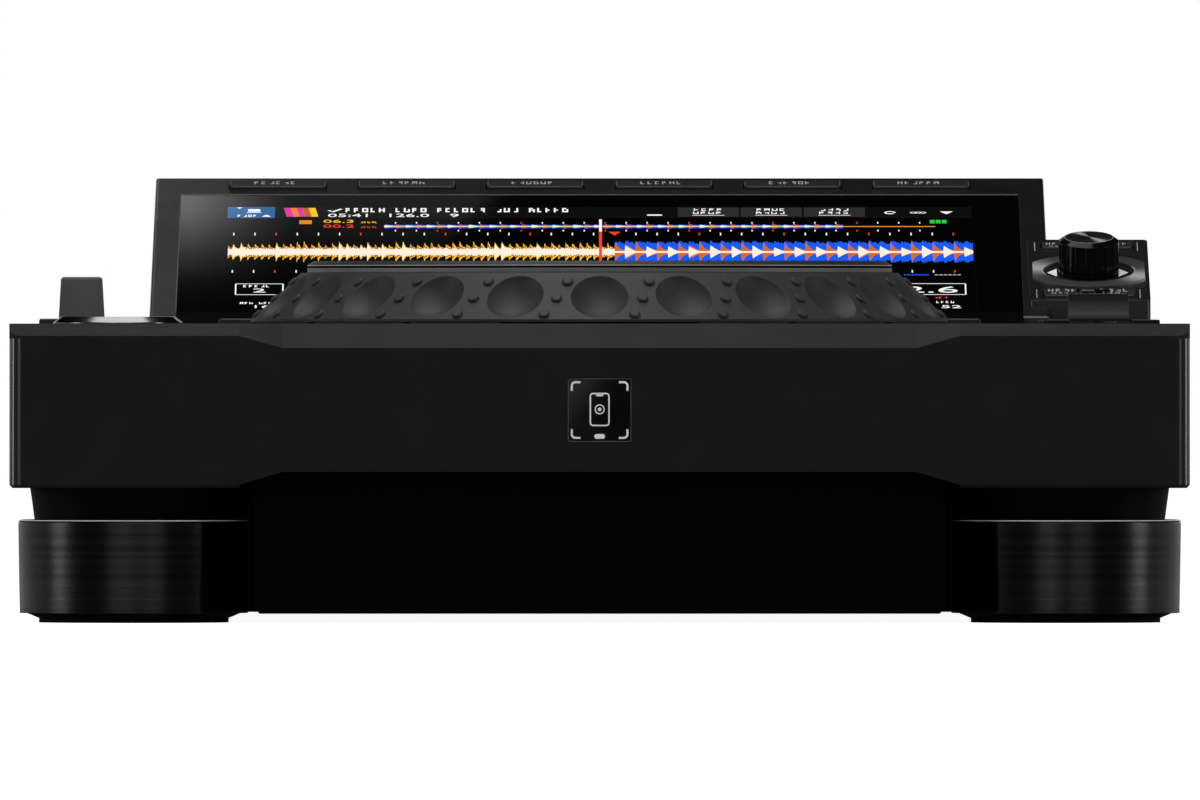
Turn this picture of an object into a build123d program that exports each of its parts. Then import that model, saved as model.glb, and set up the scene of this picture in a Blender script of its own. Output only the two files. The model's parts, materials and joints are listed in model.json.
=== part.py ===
from build123d import *
from math import cos, radians, sin, sqrt, tan
from typing import NamedTuple
import os

# Tabletop media player for a DJ booth, in millimetres.
# Frame: origin on the table under the middle of the case, X to the right,
# Y to the rear, Z up. The front of the case faces -Y.

# ---------------------------------------------------------------- driving sizes
# Case
body_width = 329.0
body_depth = 453.0
deck_height = 83.5
case_bottom = 37.65
case_wall = 4.0
case_roof = 5.0
case_corner_radius = 3.0
case_foot_chamfer = 0.9
front_bevel_side = 3.45
front_bevel_middle = 6.8
front_middle_margin = 7.9
front_step_run = 12.0
front_notch_height = 3.6
front_notch_floor = 0.9
fit_gap = 0.3
fine_gap = 0.05
cut_over = 1.0
edge_break = 0.3

# Deck plate
deck_plate_thickness = 2.5
deck_rim = 6.0
deck_front_rim = 10.0
ledge_width = 1.5

# Lower chassis
chassis_foot_gap = 1.6
chassis_clearance = 2.6
chassis_sheet = 2.0
chassis_edge = 1.5
chassis_front_gap = 0.4
chassis_front_lip = 7.6
chassis_wing = 12.0
chassis_wing_gap = 4.0

# Feet
foot_radius = 32.3
foot_taper = 0.4
foot_margin = 2.0
foot_drum_top = 28.75
foot_chamfer = 0.8
neck_top_radius = 29.0
neck_bottom_radius = 27.8
sole_radius = 26.5
sole_ring_radius = 29.9
sole_height = 1.2
sole_ring_slope = 22.8

# Jog wheel
jog_front_margin = 29.6
jog_base_radius = 98.3
jog_skirt_run = 14.2
jog_skirt_height = 14.3
jog_skirt_wall = 8.0
jog_skirt_lip = 0.8
jog_floor_gap = 0.4
jog_web = 3.0
jog_hub_radius = 26.0
jog_top_inset = 1.7
jog_top_edge = 2.2
jog_top_rise = 1.1
jog_top_bevel = 1.8
jog_top_band = 1.3
jog_groove_height = 0.55
jog_groove_depth = 0.6
spindle_radius = 18.0
spindle_flange_radius = 28.0
spindle_flange_thickness = 1.6
spindle_root_radius = 12.0
spindle_root_depth = 9.0
jog_display_radius = 30.0
jog_display_seat = 0.4
jog_display_chamfer = 0.4
dimple_count = 24
dimple_depth = 3.6
dimple_width = 16.6
dimple_length = 17.2
dimple_inset = 6.8
stud_radius = 1.55
stud_height = 0.8
stud_root = 1.2
stud_straight = 0.44
stud_top_radius = 1.15
stud_rows = ((11.3, 1.6), (6.2, 0.0), (1.4, -1.7))

# Sloping display unit
screen_tilt = 14.1
screen_start = 280.8
screen_rear_margin = 3.0
screen_side_bezel = 7.5
screen_edge_radius = 1.0
screen_front_lip = 2.0
screen_skin = 3.0
screen_side_wall = 3.0
screen_rear_wall = 2.0
glass_console_gap = 1.8
glass_start = 13.0
glass_rear_margin = 20.6
glass_thickness = 1.8
panel_side_margin = 10.5
panel_start = 16.0
panel_rear_margin = 15.0
panel_thickness = 5.0
bezel_key_count = 6
bezel_key_gap = 9.3
bezel_row_margin = 21.55
bezel_key_width = 7.4
bezel_row_inset = 2.9
bezel_key_height = 1.0

# Selector console on the right of the display
console_side_margin = 6.5
console_width = 34.7
console_start = 300.0
console_end = 369.6
console_rise = 1.85
console_wall = 2.4
console_corner_radius = 1.5
console_skin = 3.0
selector_offset = 32.5
selector_radius = 8.65
selector_face_radius = 7.15
selector_height = 10.6
selector_straight = 9.5
selector_flutes = 18
selector_flute_radius = 0.9
selector_flute_depth = 0.55
selector_flute_margin = 0.4
selector_shaft_radius = 3.0
selector_ring_radius = 18.8
selector_ring_bore = 13.1
selector_ring_height = 0.8
selector_ring_margin = 1.2
console_key_length = 11.9
console_key_gap = 2.4
console_upper_key_width = 6.6
console_lower_key_width = 8.0
console_key_height = 0.7

# Keys on the deck
key_travel = 1.0
key_flange = 0.8
key_flange_thickness = 1.0
key_flange_gap = 0.3
key_corner = 1.0
key_chamfer = 0.3
hot_cue_count = 8
hot_cue_pitch = 27.5
hot_cue_length = 25.0
hot_cue_width = 14.0
hot_cue_height = 1.4
hot_cue_gap = 20.8
left_column_margin = 29.6
right_column_margin = 24.2
transport_radius = 14.6
transport_height = 1.5
transport_ring_width = 3.0
transport_ring_height = 1.9
transport_ring_foot = 0.3
transport_ring_crown = 0.9
play_row = 42.0
cue_row = 82.0
step_key_length = 14.0
step_key_width = 8.0
step_key_height = 1.0
step_key_spread = 9.0
skip_row = 112.0
search_row = 127.0
loop_key_radius = 6.2
loop_key_height = 1.1
loop_key_spread = 10.0
loop_row = 203.0
reloop_row = 222.0
sync_row = 207.0
sync_key_radius = 6.5
adjust_row = 229.0
adjust_radius = 6.0
adjust_height = 9.8
adjust_shaft_radius = 2.5
adjust_shaft_depth = 8.0
adjust_taper = 0.5
adjust_chamfer = 0.6
adjust_grooves = 16
adjust_groove_radius = 0.6
adjust_groove_depth = 0.4

# Direction lever
lever_margin = 17.9
lever_row = 165.0
lever_top_width = 11.6
lever_base_width = 13.1
lever_height = 13.2
lever_thickness = 7.0
lever_pivot_depth = 6.0
lever_pivot_radius = 1.5
lever_root_radius = 3.6
lever_swing = 14.0
lever_plate_left = 11.8
lever_plate_right = 13.6
lever_plate_half_depth = 17.0
lever_plate_height = 1.4
lever_ear = 2.0
lever_ear_floor = 1.5
lever_top_radius = 0.9
lever_plate_chamfer = 0.4

# Tempo slider
tempo_row = 103.0
tempo_plate_width = 32.4
tempo_plate_length = 152.0
tempo_plate_height = 1.1
tempo_travel = 50.0
tempo_knob_width = 16.9
tempo_knob_length = 24.0
tempo_knob_top_length = 11.0
tempo_knob_height = 7.75
tempo_knob_foot = 1.0
tempo_knob_scoop = 1.5
tempo_knob_hollow = 0.9
tempo_plate_corner = 1.5
tempo_channel_floor = 0.3
tempo_channel_gap = 0.4
tempo_end_gap = 2.0
tempo_stem_width = 2.4
tempo_stem_length = 8.0
tempo_stem_root = 1.0
tempo_slot_width = 3.4
tempo_block_width = 7.0
tempo_block_height = 4.0
tempo_fader_wall = 2.5

# Phone touch window on the front
touch_side = 17.8
touch_rise = 21.95
touch_depth = 1.6

# Rear
rear_recess = 10.0
rear_pocket_wall = 2.0
rear_panel_side_margin = 26.5
rear_panel_rise = 7.1
rear_panel_drop = 6.0
rear_panel_thickness = 1.5
inlet_pitch = 23.0
inlet_width = 27.0
inlet_height = 20.0
inlet_depth = 16.0
inlet_clearance = 0.5
pin_spread = 7.0
pin_low = -1.5
pin_high = 2.5
pin_width = 2.0
pin_height = 4.0
pin_recess = 3.0
pin_root = 0.5
lan_pitch = 39.0
usb_b_pitch = 24.0
port_depth = 15.0
port_wall = 1.4
usb_b_width = 12.0
usb_b_height = 11.0
lan_width = 16.0
lan_height = 13.5
jack_margin = 26.0
jack_pitch = 22.0
jack_count = 3
jack_radius = 4.2
jack_length = 8.5
jack_base_radius = 6.6
jack_bore = 1.7
jack_root = 10.0
power_key_margin = 12.0
power_key_width = 8.0
power_key_height = 12.0
power_key_rise = 1.6
power_key_depth = 12.0
rear_screw_margin = 0.6
rear_screw_radius = 2.6
rear_screw_height = 1.2
rear_screw_shank = 1.2
rear_screw_drive = 0.6
rear_screw_chamfer = 0.4
media_margin = 18.5
media_row = 318.0
media_width = 18.0
media_length = 28.0
media_depth = 12.0
media_slot_width = 5.4
media_slot_length = 13.4
media_floor = 2.0

# Boards inside
board_thickness = 1.6
board_standoff = 6.0
board_post_radius = 2.5
board_side_margin = 6.3
board_front = 60.0
board_rear_margin = 57.0
board_supply_gap = 12.0
chip_side = 24.0
chip_height = 4.0
chip_row = 222.0
supply_width = 60.0
supply_front = 250.0
supply_rear_margin = 43.0
supply_height = 28.0
supply_sheet = 1.2

# ---------------------------------------------------------------- derived places
half_width = body_width / 2
half_depth = body_depth / 2
left_column = left_column_margin - half_width
right_column = half_width - right_column_margin
tilt = radians(screen_tilt)
deck_underside = deck_height - deck_plate_thickness
jog_shoulder_radius = jog_base_radius - jog_skirt_run
jog_top_radius = jog_shoulder_radius - jog_top_inset
dimple_circle_radius = jog_base_radius - dimple_inset
hot_cue_row = jog_front_margin + 2 * jog_base_radius + hot_cue_gap + hot_cue_width / 2
screen_end = body_depth - screen_rear_margin
screen_slope = (screen_end - screen_start) / cos(tilt)
glass_end = screen_slope - glass_rear_margin
panel_end = glass_end - panel_rear_margin
touch_height = case_bottom + touch_rise
jog_y = -half_depth + jog_front_margin + jog_base_radius
jog_floor = deck_height + jog_floor_gap
jog_shoulder = deck_height + jog_skirt_height
jog_top_level = jog_shoulder + jog_top_edge + jog_top_rise
foot_x = half_width - foot_margin - foot_radius
foot_y = half_depth - foot_margin - foot_radius
chassis_half_width = foot_x - foot_radius - chassis_foot_gap
front_middle_half_width = chassis_half_width - front_middle_margin
console_right = half_width - console_side_margin
console_left = console_right - console_width
console_x = console_left + console_width / 2
glass_half_width = console_left - glass_console_gap
panel_half_width = glass_half_width - panel_side_margin
screen_half_width = glass_half_width + screen_side_bezel
bezel_row_length = 2 * (screen_half_width - bezel_row_margin)
bezel_key_length = (bezel_row_length - (bezel_key_count - 1) * bezel_key_gap) / bezel_key_count
bezel_key_pitch = bezel_key_length + bezel_key_gap
lever_x = lever_margin - half_width
media_x = media_margin - half_width
rear_face = half_depth - rear_recess
rear_inside = rear_face - rear_panel_thickness
rear_pocket_back = rear_inside - rear_pocket_wall
rear_panel_half_width = half_width - rear_panel_side_margin
rear_panel_bottom = case_bottom + rear_panel_rise
rear_panel_top = deck_height - rear_panel_drop
port_z = (rear_panel_bottom + rear_panel_top) / 2
rear_panel_overlap = (rear_panel_top - rear_panel_bottom - inlet_height) / 2 - inlet_clearance
board_rear = body_depth - board_rear_margin
supply_rear = body_depth - supply_rear_margin
power_key_x = rear_panel_half_width - power_key_margin
inlet_x = power_key_x - inlet_pitch
lan_x = inlet_x - lan_pitch
usb_b_x = lan_x - usb_b_pitch
jack_first_x = jack_margin - rear_panel_half_width
sole_ring_top = sole_height + (sole_ring_radius - sole_radius) * tan(radians(sole_ring_slope))


def from_front(distance):
    """Y of a place this far behind the front face."""
    return distance - half_depth


def block(x0, x1, y0, y1, z0, z1):
    """Box between two corners."""
    middle = Pos((x0 + x1) / 2, (y0 + y1) / 2, (z0 + z1) / 2)
    return middle * Box(x1 - x0, y1 - y0, z1 - z0)


def rod(x, y, z0, z1, radius):
    """Upright cylinder between two heights."""
    return Pos(x, y, (z0 + z1) / 2) * Cylinder(radius, z1 - z0)


def lathe(points):
    """Solid turned about Z from (radius, height) points."""
    outline = make_face(Polyline(*[(r, 0, z) for r, z in points], close=True))
    return revolve(outline, axis=Axis.Z)


def side_prism(points, x0, x1):
    """Prism along X from (y, z) points."""
    outline = make_face(Polyline(*[(x0, y, z) for y, z in points], close=True))
    return extrude(outline, amount=x1 - x0, dir=(1, 0, 0))


def slope_height(distance):
    """Height of the display's sloping plane this far behind the front face."""
    return deck_height + (distance - screen_start) * tan(tilt)


# Sloping planes: local x to the right, local y up the slope, local z outwards.
screen_plane = Plane(
    origin=(0, from_front(screen_start), deck_height),
    x_dir=(1, 0, 0),
    z_dir=(0, -sin(tilt), cos(tilt)),
)
screen_frame = screen_plane.location
console_front_slope = (console_start - screen_start) / cos(tilt)
console_length = (console_end - console_start) / cos(tilt)
console_frame = screen_frame * Pos(console_x, console_front_slope, console_rise)


# ---------------------------------------------------------------- keys
class Key(NamedTuple):
    """A push key: node name, where it stands, its plan and its height."""

    name: str
    place: Location
    length: float
    width: float
    height: float
    radius: float
    plate: float


def key_plan(key, grow):
    """Plan of a key, grown on every side."""
    if key.radius > 0:
        return Circle(key.radius + grow)
    return RectangleRounded(
        key.length + 2 * grow, key.width + 2 * grow, key_corner + grow
    )


def key_solid(key):
    """Cap and stem through the plate, with a flange that stops it under the plate."""
    foot = key.plate + key_flange_gap
    stem = Pos(0, 0, -foot) * extrude(key_plan(key, 0), foot + key.height)
    stem = chamfer(stem.faces().sort_by(Axis.Z)[-1].edges(), key_chamfer)
    flange = Pos(0, 0, -foot - key_flange_thickness) * extrude(
        key_plan(key, key_flange), key_flange_thickness
    )
    return key.place * (stem + flange)


def key_hole(key):
    """Clearance hole of a key through its plate."""
    reach = key.plate + 2 * cut_over
    hole = Pos(0, 0, -reach) * extrude(key_plan(key, fit_gap), reach + 2 * cut_over)
    return key.place * hole


def deck_key(name, x, row, length, width, height, radius=0.0):
    """Key that stands on the level deck."""
    place = Location((x, from_front(row), deck_height))
    return Key(name, place, length, width, height, radius, deck_plate_thickness)


deck_keys = [
    deck_key("play_button", left_column, play_row, 0, 0, transport_height, transport_radius),
    deck_key("cue_button", left_column, cue_row, 0, 0, transport_height, transport_radius),
    deck_key("reloop_button", left_column, reloop_row, 0, 0, loop_key_height, loop_key_radius),
    deck_key("sync_button", right_column, sync_row, 0, 0, loop_key_height, sync_key_radius),
]
for side, word in ((-1, "back"), (1, "forward")):
    step_x = left_column + side * step_key_spread
    step_plan = (step_key_length, step_key_width, step_key_height)
    deck_keys.append(deck_key("skip_%s_button" % word, step_x, skip_row, *step_plan))
    deck_keys.append(deck_key("search_%s_button" % word, step_x, search_row, *step_plan))
for side, word in ((-1, "in"), (1, "out")):
    loop_x = left_column + side * loop_key_spread
    deck_keys.append(
        deck_key("loop_%s_button" % word, loop_x, loop_row, 0, 0, loop_key_height, loop_key_radius)
    )
for index in range(hot_cue_count):
    hot_cue_x = (index - (hot_cue_count - 1) / 2) * hot_cue_pitch
    deck_keys.append(
        deck_key(
            "hot_cue_%d" % (index + 1),
            hot_cue_x,
            hot_cue_row,
            hot_cue_length,
            hot_cue_width,
            hot_cue_height,
        )
    )

# Keys along the display's upper bezel, clear of the rear wall when they are pressed
bezel_reach = screen_skin + key_flange_gap + key_flange_thickness + key_travel
bezel_margin = (screen_rear_wall + fit_gap) / cos(tilt) + bezel_reach * tan(tilt) + key_flange
bezel_middle = screen_slope - bezel_margin - bezel_row_inset - bezel_key_width / 2
bezel_keys = []
for index in range(bezel_key_count):
    bezel_x = (index - (bezel_key_count - 1) / 2) * bezel_key_pitch
    bezel_keys.append(
        Key(
            "bezel_button_%d" % (index + 1),
            screen_frame * Pos(bezel_x, bezel_middle, 0),
            bezel_key_length,
            bezel_key_width,
            bezel_key_height,
            0.0,
            screen_skin,
        )
    )

# Keys of the selector console, two above the dial and two below it
console_keys = []
console_reach = console_skin + key_flange_gap + key_flange_thickness + key_travel
console_margin = console_wall + fit_gap + key_flange
upper_margin = console_margin + console_reach * tan(tilt)
lower_key_y = console_margin + console_lower_key_width / 2
upper_key_y = console_length - upper_margin - console_upper_key_width / 2
for row_name, row_y, row_width in (
    ("lower", lower_key_y, console_lower_key_width),
    ("upper", upper_key_y, console_upper_key_width),
):
    for side, word in ((-1, "left"), (1, "right")):
        key_x = side * (console_key_length + console_key_gap) / 2
        console_keys.append(
            Key(
                "console_%s_%s_button" % (row_name, word),
                console_frame * Pos(key_x, row_y, 0),
                console_key_length,
                row_width,
                console_key_height,
                0.0,
                console_skin,
            )
        )


# ---------------------------------------------------------------- case
def front_bevel_cutter():
    """Wedge that bevels the front's top edge, deeper between the two steps."""
    stations = (
        (-half_width - cut_over, front_bevel_side),
        (-front_middle_half_width - front_step_run, front_bevel_side),
        (-front_middle_half_width, front_bevel_middle),
        (front_middle_half_width, front_bevel_middle),
        (front_middle_half_width + front_step_run, front_bevel_side),
        (half_width + cut_over, front_bevel_side),
    )
    faces = []
    for x, leg in stations:
        corner = (x, -half_depth - cut_over, deck_height + cut_over)
        back = (x, -half_depth + leg + cut_over, deck_height + cut_over)
        down = (x, -half_depth - cut_over, deck_height - leg - cut_over)
        faces.append(make_face(Polyline(corner, back, down, close=True)))
    return loft(faces, ruled=True)


def front_notch_cutter():
    """Shallow raised arch under the middle of the front face."""
    low = case_bottom - cut_over
    shelf = case_bottom + front_notch_floor
    high = shelf + front_notch_height
    outer = front_middle_half_width + front_step_run
    points = (
        (-outer, low),
        (-outer, shelf),
        (-front_middle_half_width, high),
        (front_middle_half_width, high),
        (outer, shelf),
        (outer, low),
    )
    y0 = -half_depth - cut_over
    outline = make_face(Polyline(*[(x, y0, z) for x, z in points], close=True))
    return extrude(outline, amount=1 + case_wall, dir=(0, 1, 0))


def ledge_opening():
    """Opening through the case's roof under the deck plate and the display."""
    return block(
        -half_width + deck_rim + ledge_width,
        half_width - deck_rim - ledge_width,
        -half_depth + deck_front_rim + ledge_width,
        half_depth - deck_rim - ledge_width,
        deck_height - case_roof - cut_over,
        deck_height + cut_over,
    )


def deck_recess(gap):
    """Space of the deck plate, in the roof's rebate."""
    return block(
        -half_width + deck_rim + gap,
        half_width - deck_rim - gap,
        -half_depth + deck_front_rim + gap,
        half_depth - deck_rim - gap,
        deck_underside,
        deck_height,
    )


def upper_case():
    """Case shell: walls, bevelled front, roof ledge, front pocket, rear window."""
    shell = block(
        -half_width, half_width, -half_depth, half_depth, case_bottom, deck_height
    )
    shell = fillet(shell.edges().filter_by(Axis.Z), case_corner_radius)
    bottom_edges = shell.faces().sort_by(Axis.Z)[0].edges()
    shell = chamfer(bottom_edges, case_foot_chamfer)
    hollow = block(
        -half_width + case_wall,
        half_width - case_wall,
        -half_depth + case_wall,
        half_depth - case_wall,
        case_bottom - cut_over,
        deck_height - case_roof,
    )
    pocket = block(
        -touch_side / 2 - fine_gap,
        touch_side / 2 + fine_gap,
        -half_depth - cut_over,
        -half_depth + touch_depth,
        touch_height - touch_side / 2 - fine_gap,
        touch_height + touch_side / 2 + fine_gap,
    )
    roof_cut = deck_recess(0) + Pos(0, 0, deck_plate_thickness) * deck_recess(0)
    cutters = [hollow, ledge_opening(), roof_cut, front_bevel_cutter(), front_notch_cutter(), pocket]
    for cutter in cutters:
        shell = shell - cutter
    window = rear_block(-rear_panel_overlap, rear_pocket_back - cut_over, half_depth + cut_over)
    panel_seat = rear_block(fine_gap, rear_inside, half_depth + cut_over)
    shell = shell + rear_block(rear_pocket_wall, rear_pocket_back, half_depth - case_wall)
    shell = shell - window - panel_seat
    return shell - [rear_screw_hole(x, z) for x, z in rear_screw_places()]


def deck_plate():
    """Top plate with the holes for every key, shaft, lever and slot in it."""
    plate = deck_recess(fine_gap)
    display_opening = block(
        -screen_half_width + screen_side_wall,
        screen_half_width - screen_side_wall,
        screen_front_y() + screen_side_wall,
        half_depth,
        deck_underside - cut_over,
        deck_height + cut_over,
    )
    console_opening = block(
        console_left + console_wall,
        console_right - console_wall,
        from_front(console_start) + console_wall,
        from_front(console_end) - console_wall,
        deck_underside - cut_over,
        deck_height + cut_over,
    )
    spindle_hole = rod(
        0, jog_y, deck_underside - cut_over, deck_height + cut_over, spindle_root_radius + fine_gap
    )
    adjust_hole = rod(
        right_column,
        from_front(adjust_row),
        deck_underside - cut_over,
        deck_height + cut_over,
        adjust_shaft_radius + fine_gap,
    )
    media_hole = Pos(media_x, from_front(media_row), deck_height) * Box(
        media_width + 2 * fine_gap, media_length + 2 * fine_gap, 2 * deck_plate_thickness + cut_over
    )
    cutters = [display_opening, console_opening, spindle_hole, adjust_hole, media_hole]
    cutters.append(tempo_slot(deck_underside - cut_over, deck_height + cut_over))
    cutters.append(lever_window(deck_underside - cut_over, deck_height + cut_over, lever_ear + fit_gap))
    cutters.extend(key_hole(key) for key in deck_keys)
    return plate - cutters


def tray_block(half_x, y0, y1, z1):
    """Folded tray of one width, with its corners and bottom edges broken."""
    tray = block(-half_x, half_x, y0, y1, chassis_clearance, z1)
    tray = chamfer(tray.edges().filter_by(Axis.Z), chassis_edge)
    return chamfer(tray.faces().sort_by(Axis.Z)[0].edges(), chassis_edge)


def lower_chassis():
    """Tray that widens between the front and rear feet, with the floor plate that closes the case."""
    front = -half_depth + case_wall + chassis_front_gap
    rear = half_depth - case_wall - chassis_front_gap
    side = half_width - case_wall - chassis_front_gap
    plate_top = case_bottom + chassis_sheet
    wing_half = chassis_half_width + chassis_wing
    wing_rear = foot_y - foot_radius - chassis_wing_gap
    tray = tray_block(chassis_half_width, front, rear, plate_top)
    tray = tray + tray_block(wing_half, -wing_rear, wing_rear, plate_top)
    floor_plate = block(-side, side, front, rear, case_bottom, plate_top)
    inner_half = chassis_half_width - chassis_sheet
    inside = block(
        -inner_half,
        inner_half,
        front + chassis_sheet,
        rear - chassis_sheet,
        chassis_clearance + chassis_sheet,
        plate_top + cut_over,
    )
    inside = inside + block(
        chassis_sheet - wing_half,
        wing_half - chassis_sheet,
        chassis_sheet - wing_rear,
        wing_rear - chassis_sheet,
        chassis_clearance + chassis_sheet,
        plate_top + cut_over,
    )
    front_lip = block(
        -chassis_half_width - front_step_run,
        chassis_half_width + front_step_run,
        front,
        front + chassis_sheet,
        case_bottom,
        case_bottom + chassis_front_lip,
    )
    return tray + floor_plate + front_lip - inside


def rear_block(grow, y0, y1):
    """Block of the rear panel's outline, grown on every side, between two depths."""
    return block(
        -rear_panel_half_width - grow,
        rear_panel_half_width + grow,
        y0,
        y1,
        rear_panel_bottom - grow,
        rear_panel_top + grow,
    )


def touch_window():
    """Square glass set flush in the front."""
    return block(
        -touch_side / 2,
        touch_side / 2,
        -half_depth,
        -half_depth + touch_depth,
        touch_height - touch_side / 2,
        touch_height + touch_side / 2,
    )


# ---------------------------------------------------------------- feet
def at_feet(shape):
    """The same solid under all four corners."""
    places = [(x, y) for y in (-foot_y, foot_y) for x in (-foot_x, foot_x)]
    return Part() + [Pos(x, y, 0) * shape for x, y in places]


def foot_drum():
    """Heavy turned drum of a foot."""
    return lathe(
        (
            (0, sole_ring_top),
            (foot_radius - foot_taper, sole_ring_top),
            (foot_radius, foot_drum_top - foot_chamfer),
            (foot_radius - foot_chamfer, foot_drum_top),
            (0, foot_drum_top),
        )
    )


def foot_neck():
    """Cone between the drum and the chassis floor plate."""
    return lathe(
        (
            (0, foot_drum_top),
            (neck_bottom_radius, foot_drum_top),
            (neck_top_radius, case_bottom),
            (0, case_bottom),
        )
    )


def foot_sole():
    """Rubber pad with its bevelled ring."""
    return lathe(
        (
            (0, 0),
            (sole_radius, 0),
            (sole_radius, sole_height),
            (sole_ring_radius, sole_ring_top),
            (0, sole_ring_top),
        )
    )


# ---------------------------------------------------------------- jog wheel
skirt_drop = jog_shoulder - jog_floor - jog_skirt_lip
skirt_length = sqrt(jog_skirt_run**2 + skirt_drop**2)
skirt_normal = (skirt_drop / skirt_length, jog_skirt_run / skirt_length)


def skirt_place(radius, angle):
    """Frame on the skirt's cone: x around it, y up the slope, z outwards."""
    height = jog_shoulder - (radius - jog_shoulder_radius) / jog_skirt_run * skirt_drop
    turn = radians(angle)
    radial, rise = skirt_normal
    origin = (radius * cos(turn), jog_y + radius * sin(turn), height)
    outward = (radial * cos(turn), radial * sin(turn), rise)
    return Plane(origin=origin, x_dir=(-sin(turn), cos(turn), 0), z_dir=outward).location


def dimple_cutter():
    """Ellipsoid that leaves one finger dimple."""
    half_chord = dimple_width / 2
    radius = (dimple_depth + half_chord**2 / dimple_depth) / 2
    reach = radius * dimple_length / dimple_width
    half_disc = Ellipse(radius, reach) - Pos(-radius, 0) * Rectangle(2 * radius, 2 * reach)
    return Pos(0, 0, radius - dimple_depth) * revolve(half_disc, axis=Axis.Y)


def stud():
    """Small round grip stud."""
    return lathe(
        (
            (0, -stud_root),
            (stud_radius, -stud_root),
            (stud_radius, stud_straight),
            (stud_top_radius, stud_height),
            (0, stud_height),
        )
    )


def jog_skirt():
    """Conical grip ring with its web and hub."""
    bore = spindle_radius + fine_gap
    hub_floor = deck_height + spindle_flange_thickness + fit_gap
    web_floor = jog_shoulder - jog_web
    skirt = Pos(0, jog_y, 0) * lathe(
        (
            (bore, hub_floor),
            (jog_hub_radius, hub_floor),
            (jog_hub_radius, web_floor),
            (jog_shoulder_radius - jog_skirt_wall, web_floor),
            (jog_base_radius - jog_skirt_wall, jog_floor),
            (jog_base_radius, jog_floor),
            (jog_base_radius, jog_floor + jog_skirt_lip),
            (jog_shoulder_radius, jog_shoulder),
            (bore, jog_shoulder),
        )
    )
    pitch = 360.0 / dimple_count
    one_dimple = dimple_cutter()
    one_stud = stud()
    dimples = []
    studs = []
    for index in range(dimple_count):
        angle = -90.0 + index * pitch
        dimples.append(skirt_place(dimple_circle_radius, angle) * one_dimple)
        for inset, lean in stud_rows:
            place = skirt_place(jog_base_radius - inset, angle + pitch / 2 + lean)
            studs.append(place * one_stud)
    return skirt - dimples + studs


def jog_top():
    """Round top plate of the jog wheel, with a fine groove around its edge."""
    bore = jog_display_radius + fit_gap
    edge_level = jog_shoulder + jog_top_edge
    groove_floor = jog_shoulder + jog_top_band
    groove_roof = groove_floor + jog_groove_height
    groove_radius = jog_top_radius - jog_groove_depth
    return Pos(0, jog_y, 0) * lathe(
        (
            (bore, jog_shoulder),
            (jog_top_radius, jog_shoulder),
            (jog_top_radius, groove_floor),
            (groove_radius, groove_floor),
            (groove_radius, groove_roof),
            (jog_top_radius, groove_roof),
            (jog_top_radius, edge_level),
            (jog_top_radius - jog_top_bevel, jog_top_level),
            (bore, jog_top_level),
        )
    )


def jog_spindle():
    """Fixed post that the wheel turns on."""
    return Pos(0, jog_y, 0) * lathe(
        (
            (0, deck_underside - spindle_root_depth),
            (spindle_root_radius, deck_underside - spindle_root_depth),
            (spindle_root_radius, deck_height),
            (spindle_flange_radius, deck_height),
            (spindle_flange_radius, deck_height + spindle_flange_thickness),
            (spindle_radius, deck_height + spindle_flange_thickness),
            (spindle_radius, jog_shoulder + jog_display_seat),
            (0, jog_shoulder + jog_display_seat),
        )
    )


def jog_display():
    """Round display that stays still in the middle of the wheel."""
    base = jog_shoulder + jog_display_seat
    disc = rod(0, jog_y, base, jog_top_level, jog_display_radius)
    return chamfer(disc.faces().sort_by(Axis.Z)[-1].edges(), jog_display_chamfer)


# ---------------------------------------------------------------- display unit
def screen_front_y():
    """Y of the display unit's short front wall."""
    return from_front(screen_start + screen_front_lip / tan(tilt))


def screen_slab(x_half, s0, s1, z0, z1):
    """Box lying in the display's sloping plane."""
    middle = Pos(0, (s0 + s1) / 2, (z0 + z1) / 2)
    return screen_frame * middle * Box(2 * x_half, s1 - s0, z1 - z0)


def display_housing():
    """Wedge-shaped hood with its glass recess and panel opening."""
    front = screen_front_y()
    rear = from_front(screen_end)
    top = slope_height(screen_end)
    lip = deck_height + screen_front_lip
    outer = side_prism(
        ((front, deck_height), (front, lip), (rear, top), (rear, deck_height)),
        -screen_half_width,
        screen_half_width,
    )
    slope_face = outer.faces().filter_by(lambda face: face.normal_at().Z > 0.5)
    outer = fillet(slope_face.edges(), screen_edge_radius)
    inner_drop = screen_skin / cos(tilt)
    inner_rear = rear - screen_rear_wall
    rear_ceiling = slope_height(screen_end - screen_rear_wall) - inner_drop
    inner_front = from_front(screen_start) + inner_drop / tan(tilt)
    inner_half = screen_half_width - screen_side_wall
    hollow = side_prism(
        (
            (inner_front, deck_height),
            (inner_rear, rear_ceiling),
            (inner_rear, deck_height - cut_over),
            (inner_front, deck_height - cut_over),
        ),
        -inner_half,
        inner_half,
    )
    recess = screen_slab(
        glass_half_width + fine_gap,
        glass_start - fine_gap,
        glass_end + fine_gap,
        -glass_thickness,
        screen_skin,
    )
    opening = screen_slab(
        panel_half_width + fine_gap,
        panel_start - fine_gap,
        panel_end + fine_gap,
        -screen_skin - 3 * panel_thickness,
        0,
    )
    opening = opening & block(-half_width, half_width, front + screen_side_wall, rear, 0, 2 * top)
    console_notch = block(
        console_left - fine_gap,
        console_right,
        from_front(console_start) - fine_gap,
        from_front(console_end) + fine_gap,
        0,
        2 * top,
    )
    cutters = [hollow, recess, opening, console_notch] + [key_hole(key) for key in bezel_keys]
    return outer - cutters


def display_glass():
    """Cover glass of the main display."""
    return screen_slab(glass_half_width, glass_start, glass_end, -glass_thickness, 0)


def display_panel():
    """Liquid-crystal module under the glass."""
    return screen_slab(
        panel_half_width,
        panel_start,
        panel_end,
        -glass_thickness - panel_thickness,
        -glass_thickness,
    )


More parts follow.
